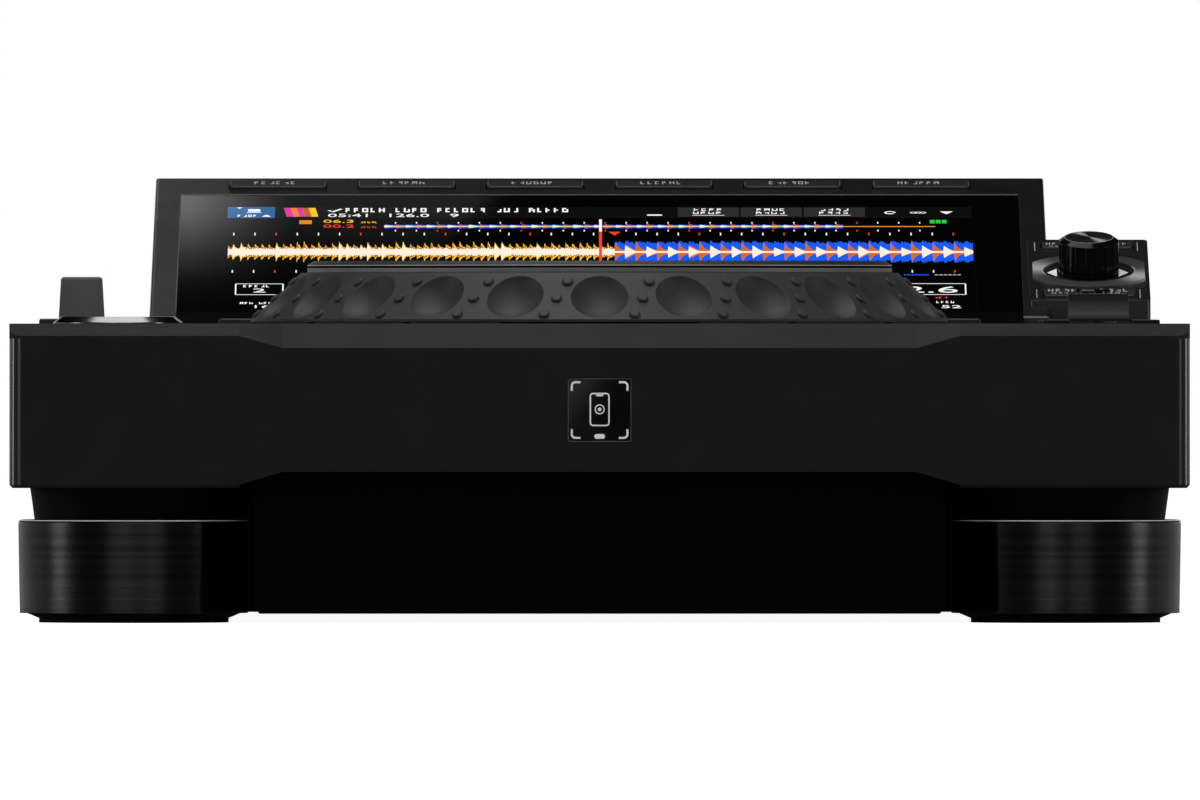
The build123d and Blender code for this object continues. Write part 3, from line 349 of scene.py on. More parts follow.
@dataclass(frozen=True)
class Finish(Dress):
    """An opaque finish with its grain, a painted highlight along its edges and traces of handling.

    Lengths are mm; centre is the axis of a turned face, and mirrored repeats that axis
    in all four corners. The coat covers only what lies farther than coat_from from the
    middle, to the left and right, and below coat_top. streak is a painted reflection:
    how many times brighter a turned face's colour is along streak_turn, in degrees.
    """

    roughness: float
    metallic: float = 0.0
    specular: float = 0.5
    texture: Texture = Texture.GRAINED
    pitch: float = 0.25
    relief: float = 0.1
    centre: Point = (0.0, 0.0)
    mirrored: bool = False
    edge_radius: float = 0.25
    edge_gain: float = 1.6
    patch: float = 0.12
    smudge: float = 0.05
    coat: float = 0.0
    coat_from: float = 0.0
    coat_top: float = 0.0
    streak: float = 0.0
    streak_turn: float = 0.0
    streak_width: float = 6.0

    def wire(self, g: Graph, skin: bpy.types.Node) -> None:
        """Wires grain, colour, coat, roughness and relief into the Principled node.

        Args:
            g: the material's graph.
            skin: the Principled node.
        """
        place = g.coordinates()
        turned = self.texture is Texture.TURNED
        if turned:
            if self.mirrored:
                place = g.add("ShaderNodeVectorMath", {0: place}, operation="ABSOLUTE").outputs[0]
            axis = (-self.centre[0] * MM, -self.centre[1] * MM, 0.0)
            moved = g.add("ShaderNodeMapping", {"Location": axis, "Vector": place}).outputs[0]
            traits = {"Pitch": self.pitch, "Turn": self.streak_turn, "Narrow": self.streak_width}
            marks = Effect.place(g, "turned", Vector=moved, **traits)
        else:
            marks = Effect.place(g, "grain", Vector=place, Size=self.pitch)
        height, patch = marks["Height"], marks["Band" if turned else "Patch"]
        edges = Effect.place(g, "soft_edges", Radius=self.edge_radius * MM)
        body = g.blend(patch, self.scaled(1.0 - self.patch), self.scaled(1.0 + self.patch))
        # Painted reflection: a turned face's colour grows brighter along one direction.
        if self.streak > 0.0:
            body = g.blend(marks["Streak"], body, self.scaled(1.0 + self.streak))
        if self.coat > 0.0:
            self.wire_coat(g, skin, place)
        least, most = (self.roughness * (1.0 + swing) for swing in (-ROUGH_SWING, ROUGH_SWING))
        rough = g.spread(height, *GRAIN_ENDS, least, min(1.0, most))
        smudge = Effect.place(g, "handling", Vector=place)["Smudge"]
        normal = edges["Normal"]
        if self.relief > 0.0 and self.texture is not Texture.SMOOTH:
            relief = {"Strength": self.relief, "Distance": RELIEF_DEPTH * MM, "Height": height, "Normal": normal}
            normal = g.add("ShaderNodeBump", relief).outputs[0]
        # Painted highlight: the base colour grows edge_gain times lighter along edges.
        looks = {
            "Base Color": g.blend(edges["Edge"], body, self.scaled(self.edge_gain)),
            "Metallic": self.metallic,
            "Specular IOR Level": self.specular,
            "Roughness": g.math("MULTIPLY_ADD", smudge, self.smudge, rough),
            "Normal": normal,
        }
        g.dress(skin, looks)

    def wire_coat(self, g: Graph, skin: bpy.types.Node, place: Socket) -> None:
        """Wires the clear coat that lies on the outer sides only.

        Args:
            g: the material's graph.
            skin: the Principled node.
            place: the place on the surface.
        """
        x, _, z = g.split(place)
        edge = self.coat_from * MM
        weight = g.spread(g.math("ABSOLUTE", x), edge, edge + COAT_EDGE * MM, 0.0, self.coat)
        below = g.math("LESS_THAN", z, self.coat_top * MM)
        g.feed(skin.inputs["Coat Weight"], g.math("MULTIPLY", weight, below))
        g.feed(skin.inputs["Coat Roughness"], COAT_ROUGHNESS)


@dataclass(frozen=True)
class Glow(Dress):
    """A lit colour of the display: plain light with a faint grid of picture cells."""

    cell_size: float = 0.4
    cell_depth: float = 0.04

    def wire(self, g: Graph, skin: bpy.types.Node) -> None:
        """Wires the light and the gloss of the cover into the Principled node."""
        marks = Effect.place(g, "grain", Vector=g.coordinates(), Size=self.cell_size)
        looks = {
            "Emission Color": g.blend(marks["Height"], self.scaled(1.0 - self.cell_depth), self.shade),
            "Emission Strength": 1.0,
            "Base Color": (0.0, 0.0, 0.0),
            "Roughness": 0.04,
        }
        g.dress(skin, looks)


def smooth(name: str, shade: Colour, roughness: float, **traits: Any) -> Finish:
    """A finish without grain."""
    return Finish(name, shade, roughness, texture=Texture.SMOOTH, **traits)


def lathed(name: str, shade: Colour, roughness: float, **traits: Any) -> Finish:
    """A finish with the fine lines of a lathe."""
    return Finish(name, shade, roughness, texture=Texture.TURNED, **traits)


def printed(name: str, shade: Colour, roughness: float = 0.5, relief: float = 0.05) -> Finish:
    """A printed mark or a small lens."""
    return Finish(name, shade, roughness, specular=0.2, pitch=0.1, relief=relief)


DIAL_CENTRE = (LAYOUT.console_x, 102.7)

FINISHES: dict[str, Finish] = {
    "case": Finish(
        "case_lacquer", (0.0105, 0.0105, 0.0107), 0.5, specular=0.09, pitch=0.18, relief=0.06, edge_gain=3.0,
        coat=1.0, coat_from=161.2, coat_top=79.3,
    ),
    "deck": Finish("deck_anodised", (0.02, 0.02, 0.021), 0.42, specular=0.3, pitch=0.15, relief=0.12),
    "chassis": Finish("chassis_powder", (0.0012, 0.0012, 0.0012), 0.65, specular=0.02, pitch=0.5, relief=0.2),
    "foot_metal": lathed(
        "foot_turned_metal", (0.035, 0.035, 0.036), 0.22, metallic=1.0, pitch=0.22, relief=0.12,
        centre=(LAYOUT.foot_x, LAYOUT.foot_y), mirrored=True, patch=0.2, edge_gain=2.0,
    ),
    "foot_neck": Finish("foot_neck_black", (0.002, 0.002, 0.002), 0.5, specular=0.05),
    "rubber": Finish("sole_rubber", (0.004, 0.004, 0.004), 0.8, specular=0.1, pitch=0.4, relief=0.3),
    "jog_grip": Finish(
        "grip_soft_touch", (0.024, 0.024, 0.0245), 0.55, specular=0.24, pitch=0.12, relief=0.15, edge_radius=0.35
    ),
    "jog_plate": lathed(
        "wheel_turned_plate", (0.021, 0.021, 0.0215), 0.5, metallic=0.2, specular=0.2, pitch=0.3,
        centre=(0.0, LAYOUT.jog_y),
    ),
    "spindle": Finish("spindle_black", (0.01, 0.01, 0.01), 0.5, specular=0.3),
    "hood": Finish("hood_moulded", (0.0045, 0.0045, 0.0046), 0.34, pitch=0.3, relief=0.2, edge_gain=1.0),
    "screen_glass": smooth("cover_glass", (0.0008, 0.0008, 0.0009), 0.04, smudge=0.01),
    "screen_panel": smooth("panel_black", (0.002, 0.002, 0.0025), 0.3, specular=0.3),
    "touch_glass": smooth("touch_gloss", (0.0012, 0.0012, 0.0013), 0.05, specular=0.25),
    "key_plastic": Finish("key_satin", (0.014, 0.014, 0.0145), 0.45, specular=0.25, pitch=0.2),
    "bright_trim": smooth("trim_dark_chrome", (0.16, 0.16, 0.165), 0.16, metallic=1.0),
    "knob_gloss": smooth("knob_gloss_black", (0.003, 0.003, 0.003), 0.12, specular=0.15),
    # Painted reflection streak on the dial's turned metal.
    "dial_metal": lathed(
        "dial_satin_metal", (0.046, 0.046, 0.047), 0.4, metallic=0.3, pitch=0.5, relief=0.05,
        centre=DIAL_CENTRE, streak=9.4, streak_turn=163.0, streak_width=14.0,
    ),
    "slider_cap": Finish("slider_satin", (0.01, 0.01, 0.0102), 0.42, specular=0.12, pitch=0.2, edge_gain=9.0),
    "tempo_plate": Finish("tempo_plate_black", (0.004, 0.004, 0.0041), 0.5, specular=0.12, pitch=0.2, edge_gain=9.0),
    # The lever wears a lighter satin, painted lighter for the light on its upright front.
    "lever_cap": Finish("lever_satin", (0.085, 0.085, 0.0855), 0.5, specular=0.15, pitch=0.2),
    "fader_steel": Finish("fader_zinc", (0.5, 0.5, 0.5), 0.35, metallic=1.0, pitch=0.4),
    "socket_metal": smooth("socket_nickel", (0.6, 0.6, 0.6), 0.22, metallic=1.0),
    "socket_plastic": Finish("socket_black", (0.008, 0.008, 0.008), 0.5, specular=0.3),
    "screw_steel": Finish("screw_blackened", (0.06, 0.06, 0.06), 0.35, metallic=1.0, pitch=0.1),
    "board": Finish("board_laminate", (0.012, 0.07, 0.03), 0.4, specular=0.4, pitch=0.6, relief=0.2),
    "window_rim": smooth("window_rim_dark", (0.06, 0.06, 0.06), 0.3, metallic=0.6),
    # Thin light lines laid as painted highlights where edges and rims catch the light.
    "highlight_line": smooth("fine_bright_line", (0.3, 0.3, 0.3), 0.45, metallic=0.2),
    "foot_highlight": smooth("foot_edge_line", (0.8, 0.8, 0.8), 0.4),
    "faint_highlight_line": smooth("fine_grey_line", (0.09, 0.09, 0.09), 0.45, metallic=0.2),
    "wheel_band": Finish("wheel_side_band", (0.13, 0.13, 0.13), 0.5, metallic=0.2, specular=0.2, pitch=0.2),
    "gap_shadow": Finish("gap_shadow", (0.0008, 0.0008, 0.0008), 0.7, specular=0.02),
    # Painted reflection streak on the knob's turned face.
    "knob_face": lathed(
        "knob_turned_face", (0.012, 0.012, 0.012), 0.35, metallic=0.4, pitch=0.3, relief=0.05,
        centre=DIAL_CENTRE, streak=45.0, streak_turn=125.0, streak_width=36.0,
    ),
    "round_glass": smooth("round_display_gloss", (0.0015, 0.0015, 0.0018), 0.06, specular=0.3),
    "contact_gold": smooth("contact_gold", (0.7, 0.45, 0.12), 0.25, metallic=1.0),
    "vent_shadow": Finish("vent_shadow", (0.002, 0.002, 0.002), 0.8, specular=0.05),
    "supply_case": Finish("supply_plated", (0.45, 0.45, 0.47), 0.35, metallic=1.0, pitch=0.5),
}
# Nodes that don't wear the finish of their slot; the lever's satin is painted lighter for the light on its upright
# front.
OWN_FINISH = {"direction_lever": "lever_cap", "tempo_plate": "tempo_plate"}
WHITE_PRINT = printed("print_white", (0.82, 0.82, 0.82))
GREY_PRINT = printed("print_grey", (0.3, 0.3, 0.3))
LENSES = tuple(
    printed("lens_" + name, shade, roughness=0.4, relief=0.02)
    for name, shade in (
        ("green", (0.01, 0.05, 0.014)),
        ("amber", (0.06, 0.03, 0.006)),
        ("blue", (0.006, 0.018, 0.06)),
        ("pink", (0.06, 0.008, 0.03)),
    )
)
GREEN_LENS, AMBER_LENS, BLUE_LENS = LENSES[:3]


# ------------------------------------------------------------------ mesh building
def arc(x: float, y: float, radius: float, start: float, end: float, steps: int = 8) -> list[Point]:
    """Points along an arc.

    Args:
        x: centre.
        y: centre.
        radius: its radius.
        start: first angle in degrees.
        end: last angle in degrees.
        steps: number of chords.

    Returns:
        The points from start to end.
    """
    turn = [math.radians(start + (end - start) * i / steps) for i in range(steps + 1)]
    return [(x + radius * math.cos(a), y + radius * math.sin(a)) for a in turn]


def circle(radius: float, sides: int, x: float = 0.0, y: float = 0.0) -> list[Point]:
    """Points of a full circle, each one once."""
    return arc(x, y, radius, 0.0, 360.0 - 360.0 / sides, sides - 1)


def rounded(x: float, y: float, width: float, height: float, radius: float, steps: int = 4) -> list[Point]:
    """Outline of a rounded rectangle about a centre, counter-clockwise.

    Args:
        x: centre.
        y: centre.
        width: along x.
        height: along y.
        radius: of its corners.
        steps: chords in each corner.

    Returns:
        The outline's points.
    """
    across, up = width / 2 - radius, height / 2 - radius
    outline: list[Point] = []
    for sx, sy, start in ((1, 1, 0.0), (-1, 1, 90.0), (-1, -1, 180.0), (1, -1, 270.0)):
        outline += arc(x + sx * across, y + sy * up, radius, start, start + 90.0, steps)
    return outline


class Shape:
    """A closed mesh put together from prisms, bands and turned forms, in millimetres.

    Low and high are the heights of a part's floor and top in the shape's frame.
    """

    def __init__(self, name: str, place: Optional[Matrix] = None) -> None:
        """Starts an empty shape whose parts are placed in one frame."""
        self.name = name
        self.place = place or Matrix.Identity(4)
        self.points: list[Vector] = []
        self.faces: list[list[int]] = []

    def add(self, points: Iterable[Sequence[float]], faces: Iterable[Sequence[int]]) -> "Shape":
        """Adds points and faces in the shape's frame and returns the shape."""
        start = len(self.points)
        self.points.extend(self.place @ Vector(p) for p in points)
        self.faces.extend([start + i for i in f] for f in faces)
        return self

    def prism(self, outline: Sequence[Point], low: float, high: float) -> "Shape":
        """Adds an upright prism on a plan and returns the shape."""
        n = len(outline)
        points = [(x, y, z) for z in (low, high) for x, y in outline]
        sides = [(i, (i + 1) % n, n + (i + 1) % n, n + i) for i in range(n)]
        return self.add(points, [tuple(range(n))[::-1], tuple(range(n, 2 * n)), *sides])

    def bar(self, x0: float, x1: float, y0: float, y1: float, low: float, high: float) -> "Shape":
        """Adds a box between two corners and returns the shape."""
        return self.prism(((x0, y0), (x1, y0), (x1, y1), (x0, y1)), low, high)

    def posts(
        self, reach: float, half: float, y0: float, y1: float, low: float, high: float, middle: float = 0.0
    ) -> "Shape":
        """Adds two upright bars, one on either side of a middle.

        Args:
            reach: how far from the middle each one stands.
            half: half of its width.
            y0: its lower end.
            y1: its upper end.
            low: height of its floor.
            high: height of its top.
            middle: where the middle is.

        Returns:
            The shape.
        """
        for side, _ in SIDES:
            x = middle + side * reach
            self.bar(x - half, x + half, y0, y1, low, high)
        return self

    def band(
        self, near: Sequence[Point], far: Sequence[Point], low: float, high: float, closed: bool = False
    ) -> "Shape":
        """Adds a flat band between two lines of as many points.

        Args:
            near: one side of the band.
            far: the other side.
            low: height of its floor.
            high: height of its top.
            closed: whether the band joins its own start.

        Returns:
            The shape.
        """
        n = len(near)
        points = [(x, y, z) for z in (low, high) for line in (near, far) for x, y in line]
        faces: list[tuple[int, ...]] = []
        for i in range(n if closed else n - 1):
            j = (i + 1) % n
            faces += [
                (i, n + i, n + j, j),
                (2 * n + i, 2 * n + j, 3 * n + j, 3 * n + i),
                (i, j, 2 * n + j, 2 * n + i),
                (n + j, n + i, 3 * n + i, 3 * n + j),
            ]
        if not closed:
            faces += [(0, 2 * n, 3 * n, n), (n - 1, 2 * n - 1, 4 * n - 1, 3 * n - 1)]
        return self.add(points, faces)

    def stroke(
        self, path: Sequence[Point], width: float, low: float, high: float, closed: bool = False
    ) -> "Shape":
        """Adds a line of even width along a path.

        Args:
            path: its points.
            width: its width.
            low: height of its floor.
            high: height of its top.
            closed: whether the line joins its own start.

        Returns:
            The shape.
        """
        n = len(path)
        left: list[Point] = []
        right: list[Point] = []
        for i, (x, y) in enumerate(path):
            x0, y0 = path[(i - 1) % n] if closed or i else (x, y)
            x1, y1 = path[(i + 1) % n] if closed or i < n - 1 else (x, y)
            dx, dy = x1 - x0, y1 - y0
            size = math.hypot(dx, dy) or 1.0
            sx, sy = -dy / size * width / 2, dx / size * width / 2
            left.append((x + sx, y + sy))
            right.append((x - sx, y - sy))
        return self.band(right, left, low, high, closed)

    def build(self, dress: Dress, body: str = PLAYER) -> bpy.types.Object:
        """Makes the object, dresses it and lets it ride on a body; returns the object."""
        mesh = bpy.data.meshes.new(self.name)
        mesh.from_pydata([p * MM for p in self.points], [], self.faces)
        clean(mesh)
        mesh.polygons.foreach_set("use_smooth", [False] * len(mesh.polygons))
        return settle(mesh, self.name, dress, body)


def clean(mesh: bpy.types.Mesh, join: bool = False) -> None:
    """Turns a mesh's faces outwards, after joining points that lie together if asked."""
    kit = bmesh.new()
    kit.from_mesh(mesh)
    if join:
        bmesh.ops.remove_doubles(kit, verts=kit.verts, dist=1e-7)
    bmesh.ops.recalc_face_normals(kit, faces=kit.faces)
    kit.to_mesh(mesh)
    kit.free()


def link(name: str, data: Any) -> bpy.types.Object:
    """Makes an object of some data, puts it in the scene and returns it."""
    made = bpy.data.objects.new(name, data)
    bpy.context.scene.collection.objects.link(made)
    return made


def settle(mesh: bpy.types.Mesh, name: str, dress: Dress, body: str) -> bpy.types.Object:
    """Makes an object of a finished mesh, dresses it and lets it ride on a body.

    Args:
        mesh: the mesh, in metres and in place.
        name: name of the object.
        dress: its material.
        body: the body that it moves with.

    Returns:
        The object.
    """
    mesh.materials.clear()
    mesh.materials.append(dress.material())
    piece = link(name, mesh)
    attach(piece, body)
    LOG.info("made %s, %d faces, on %s", name, len(mesh.polygons), body)
    return piece


def bake_draft(draft: bpy.types.Object) -> bpy.types.Mesh:
    """Takes what a draft object evaluates to as a plain mesh and removes the draft."""
    view = bpy.context.evaluated_depsgraph_get()
    mesh = bpy.data.meshes.new_from_object(draft.evaluated_get(view))
    bpy.data.objects.remove(draft)
    return mesh


def print_number(
    name: str,
    text: str,
    height: float,
    place: Matrix,
    dress: Dress,
    body: str = PLAYER,
    stretch: float = 1.0,
    depth: float = 0.03,
) -> None:
    """Prints plain numbers, centred, as a thin raised piece.

    Args:
        name: name of the piece.
        text: the numbers.
        height: their height.
        place: frame whose z is out of the surface.
        dress: their material.
        body: the body that they move with.
        stretch: how many times as wide as usual they are.
        depth: how far they stand out.
    """
    curve = bpy.data.curves.new(name, "FONT")
    curve.body = text
    curve.align_x = curve.align_y = "CENTER"
    curve.resolution_u = 3
    curve.extrude = 0.5
    mesh = bake_draft(link(name, curve))
    size = height / 0.72
    grow = Matrix.Diagonal((size * stretch, size, depth, 1.0))
    mesh.transform(Matrix.Scale(MM, 4) @ place @ shift(0.0, 0.0, depth / 2 + 0.004) @ grow)
    clean(mesh, join=True)
    settle(mesh, name, dress, body)


@dataclass(frozen=True)
class Greeking:
    """Rows of small strokes that stand in for words, drawn as bars and gaps.

    Pitch, stroke (upright bars) and level (lying bars) are shares of the height.
    """

    height: float
    seed: int
    pitch: float = 0.62
    stroke: float = 0.13
    level: float = 0.22

    def line(self, shape: Shape, x: float, y: float, width: float, words: int = 1, low: float = 0.006) -> Shape:
        """Adds a line of strokes to a shape.

        Args:
            shape: the shape that takes them.
            x: left end.
            y: foot of the line.
            width: its length.
            words: number of words in it.
            low: height of the strokes' floor.

        Returns:
            The shape.
        """
        dice = random.Random(self.seed)
        step = self.height * self.pitch
        count = max(words, int(width / step))
        breaks = {int((i + 1) * count / words + dice.uniform(-1.0, 1.0)) for i in range(words - 1)}
        thick, deep = self.height * self.stroke, self.height * self.level
        high = low + 0.03
        for i in range(count):
            if i in breaks:
                continue
            x0, x1 = x + i * step, x + i * step + step * 0.72
            kind = dice.randrange(4)
            if kind != 2:
                shape.bar(x0, x0 + thick, y, y + self.height, low, high)
            if kind in (0, 2):
                shape.bar(x1 - thick, x1, y, y + self.height * dice.choice((0.7, 1.0)), low, high)
            for level in dice.choice(((0.0,), (0.39, 0.78), (0.0, 0.78), (0.39,))):
                foot = y + level * self.height
                shape.bar(x0 + thick * 1.05, x1 - thick * 1.05, foot, foot + deep, low, high)
        return shape


# ------------------------------------------------------------------ patterns by geometry nodes
class Pattern:
    """A Geometry Nodes tree with named inputs that is baked into a plain mesh."""

    kinds = {float: "NodeSocketFloat", int: "NodeSocketInt", bool: "NodeSocketBool", tuple: "NodeSocketVector"}

    def __init__(self, name: str, inputs: dict[str, Any]) -> None:
        """Starts a tree whose inputs have these defaults, besides its finish."""
        self.tree = bpy.data.node_groups.new(name, "GeometryNodeTree")
        self.keys: dict[str, str] = {}
        sockets = self.tree.interface
        sockets.new_socket("Geometry", in_out="OUTPUT", socket_type="NodeSocketGeometry")
        for label, default in inputs.items():
            socket = sockets.new_socket(label, in_out="INPUT", socket_type=self.kinds[type(default)])
            socket.default_value = default
            self.keys[label] = socket.identifier
        socket = sockets.new_socket("Finish", in_out="INPUT", socket_type="NodeSocketMaterial")
        self.keys["Finish"] = socket.identifier
        self.graph = Graph(self.tree)
        self.inside = self.graph.add("NodeGroupInput").outputs
        self.result = self.graph.add("NodeGroupOutput").inputs

    def scatter(self, feeds: dict[Union[int, str], Feed]) -> None:
        """Ends the tree in pieces set on points, made real, with their finish.

        Args:
            feeds: what the inputs of the instancing node take, by name.
        """
        spread = self.graph.add("GeometryNodeInstanceOnPoints", feeds)
        real = self.graph.add("GeometryNodeRealizeInstances", {0: spread.outputs[0]})
        dress = {"Geometry": real.outputs[0], "Material": self.inside["Finish"]}
        self.graph.feed(self.result[0], self.graph.add("GeometryNodeSetMaterial", dress).outputs[0])

    def bake(self, name: str, place: Matrix, dress: Dress, body: str = PLAYER, **values: Any) -> None:
        """Runs the tree with its values and keeps the result as a plain piece.

        Args:
            name: name of the piece.
            place: frame that the pattern is laid in, in mm.
            dress: its material.
            body: the body that it moves with.
            **values: inputs by name.
        """
        draft = link(name + "_draft", bpy.data.meshes.new(name + "_draft"))
        modifier = draft.modifiers.new("pattern", "NODES")
        modifier.node_group = self.tree
        modifier[self.keys["Finish"]] = dress.material()
        for label, value in values.items():
            modifier[self.keys[label]] = value
        mesh = bake_draft(draft)
        mesh.transform(Matrix.Scale(MM, 4) @ place)
        settle(mesh, name, dress, body)


def row_pattern() -> Pattern:
    """Tree that lays a straight row of small blocks, every so many of them left out or kept."""
    row = Pattern(
        "row_of_marks",
        {
            "Count": 12, "Pitch": 2.0, "Every": 4, "Phase": 0, "Keep": False, "Size": (0.5, 3.0, 0.03),
            "Start": (0.0, 0.0, 0.0),
        },
    )
    g, inside = row.graph, row.inside
    line = g.add(
        "GeometryNodeMeshLine",
        {"Count": inside["Count"], "Start Location": inside["Start"], "Offset": g.join(inside["Pitch"])},
        mode="OFFSET",
    )
    shifted = g.math("ADD", g.add("GeometryNodeInputIndex").outputs[0], inside["Phase"])
    first = g.math("LESS_THAN", g.math("MODULO", shifted, inside["Every"]), 0.5)
    chosen = g.math("ABSOLUTE", g.math("SUBTRACT", g.math("SUBTRACT", 1.0, inside["Keep"]), first))
    block = g.add("GeometryNodeMeshCube", {"Size": inside["Size"]})
    row.scatter({"Points": line.outputs[0], "Selection": chosen, "Instance": block.outputs[0]})
    return row


def ring_pattern() -> Pattern:
    """Tree that lays blocks in a ring, each turned to face outwards."""
    ring = Pattern(
        "ring_of_marks",
        {"Count": 24, "Radius": 10.0, "Sweep": 360.0, "Turn": 0.0, "Size": (1.0, 0.3, 0.03), "Lift": 0.02},
    )
    g, inside = ring.graph, ring.inside
    line = g.add("GeometryNodeMeshLine", {"Count": inside["Count"]}, mode="OFFSET")
    share = g.math("DIVIDE", g.add("GeometryNodeInputIndex").outputs[0], inside["Count"])
    degrees = g.math("MULTIPLY_ADD", share, inside["Sweep"], inside["Turn"])
    angle = g.math("MULTIPLY", degrees, math.pi / 180.0)
    x, y = (g.math("MULTIPLY", g.math(kind, angle), inside["Radius"]) for kind in ("COSINE", "SINE"))
    spot = {"Geometry": line.outputs[0], "Position": g.join(x, y, inside["Lift"])}
    moved = g.add("GeometryNodeSetPosition", spot)
    block = g.add("GeometryNodeMeshCube", {"Size": inside["Size"]})
    ring.scatter({"Points": moved.outputs[0], "Instance": block.outputs[0], "Rotation": g.join(z=angle)})
    return ring


def screw_pattern() -> Pattern:
    """Tree that sets pan heads with a slot on a grid."""
    screws = Pattern(
        "grid_of_screws", {"Columns": 3, "Rows": 4, "Spread": (84.0, 128.0, 0.0), "Radius": 3.2, "Rise": 0.3}
    )
    g, inside = screws.graph, screws.inside
    spread = g.split(inside["Spread"])
    grid = g.add("GeometryNodeMeshGrid")
    for axis, part, label in zip("XY", spread, ("Columns", "Rows")):
        g.feed(grid.inputs["Size " + axis], g.math("MULTIPLY", part, g.math("SUBTRACT", inside[label], 1.0)))
        g.feed(grid.inputs["Vertices " + axis], inside[label])
    head = g.add("GeometryNodeMeshCylinder", {"Radius": inside["Radius"], "Depth": inside["Rise"], "Vertices": 28})
    slot = g.add("GeometryNodeMeshCube", {"Size": (4.4, 0.9, 0.8)})
    lift = g.join(z=g.math("DIVIDE", inside["Rise"], 2.0))
    raised = g.add("GeometryNodeTransform", {"Geometry": slot.outputs[0], "Translation": lift})
    cut = g.add("GeometryNodeMeshBoolean", {0: head.outputs[0], 1: raised.outputs[0]}, operation="DIFFERENCE")
    screws.scatter({"Points": grid.outputs[0], "Instance": cut.outputs[0]})
    return screws


# ------------------------------------------------------------------ display
WHITE = Glow("glow_white", (1.0, 1.0, 1.0))
CREAM = Glow("glow_cream", (1.0, 0.9, 0.72))
RED = Glow("glow_red", (0.9, 0.06, 0.03))
ORANGE = Glow("glow_orange", (0.85, 0.25, 0.02))
TANGERINE = Glow("glow_tangerine", (0.7, 0.15, 0.008))
AMBER = Glow("glow_amber", (1.0, 0.58, 0.02))
RUST = Glow("glow_rust", (0.5, 0.13, 0.02))
BLUE = Glow("glow_blue", (0.01, 0.11, 0.9))
SKY = Glow("glow_sky", (0.02, 0.12, 0.33))
GREEN = Glow("glow_green", (0.02, 0.62, 0.05))
PINK = Glow("glow_pink", (0.75, 0.04, 0.35))
SLATE = Glow("glow_slate", (0.004, 0.004, 0.0042))
PEWTER = Glow("glow_pewter", (0.026, 0.026, 0.027))
SILVER = Glow("glow_silver", (0.42, 0.42, 0.43))


class Hue(Enum):
    """The two halves of the track that the waveforms show, with their envelopes' colours."""

    PLAYED = (AMBER, RUST, CREAM)
    AHEAD = (BLUE, TANGERINE, CREAM)


@dataclass
class Waveform:
    """A track's picture: three nested envelopes, struck several times a beat and dying away.

    Level is the height of its middle line, reach its half height, beat the length of a
    beat, offset the first beat and calm how strong its outer envelope is.
    """

    name: str
    level: float
    reach: float
    beat: float
    seed: int
    sample: float = 0.22
    calm: float = 1.0
    offset: float = -105.1

    def envelope(self, x: float, part: int, hue: Hue, dice: random.Random) -> float:
        """Half height of one envelope at a place.

        Args:
            x: place along the track.
            part: 0 for the outer envelope, 2 for the inner.
            hue: which half of the track it is.
            dice: source of the small unevenness.

        Returns:
            The half height.
        """
        step = (3.0 if hue is Hue.PLAYED else 2.0) * (x - self.offset) / self.beat
        number = math.floor(step)
        phase = step - number
        own = random.Random(self.seed * 1009 + number * 31)
        hit, mark = own.uniform(0.5, 1.0), own.random()
        if hue is Hue.PLAYED:
            white = 0.62 if mark > 0.78 else 0.12
            share = (
                0.3 + 0.68 * hit * math.exp(-3.0 * phase),
                0.29 + 0.5 * hit * math.exp(-4.5 * phase),
                0.25 + white * hit * math.exp(-4.0 * phase),
            )[part]
            rough = dice.uniform(-0.07, 0.07)
        elif number % 2 == 0:
            share = (0.97 - 0.2 * phase, 0.1 + 0.86 * math.exp(-3.0 * phase), 0.07)[part]
            rough = dice.uniform(-0.14, 0.02) if part == 0 else 0.0
        else:
            fall = 1.0 - phase
            share = (0.95 - 0.2 * phase, 0.12 + 0.5 * mark * fall, 0.07 + (0.1 + 0.42 * hit) * fall**1.3)[part]
            rough = dice.uniform(-0.14, 0.04) if part == 0 else 0.0
        if part == 0:
            share *= self.calm
        return self.reach * max(0.02, share + rough * self.calm)

    def draw(self, start: float, end: float, hue: Hue, place: Matrix) -> None:
        """Draws one half of the track.

        Args:
            start: left end.
            end: right end.
            hue: its colours.
            place: the display's frame.
        """
        count = int((end - start) / self.sample)
        xs = [start + (end - start) * i / count for i in range(count + 1)]
        for part, glow in enumerate(hue.value):
            dice = random.Random(self.seed + part)
            tall = [self.envelope(x, part, hue, dice) for x in xs]
            top = [(x, self.level + h) for x, h in zip(xs, tall)]
            foot = [(x, self.level - h * 0.94) for x, h in zip(xs, tall)]
            low = 0.006 + 0.03 * part
            shape = Shape("%s_%s_%d" % (self.name, hue.name.lower(), part), place)
            shape.band(foot, top, low, low + 0.028).build(glow)


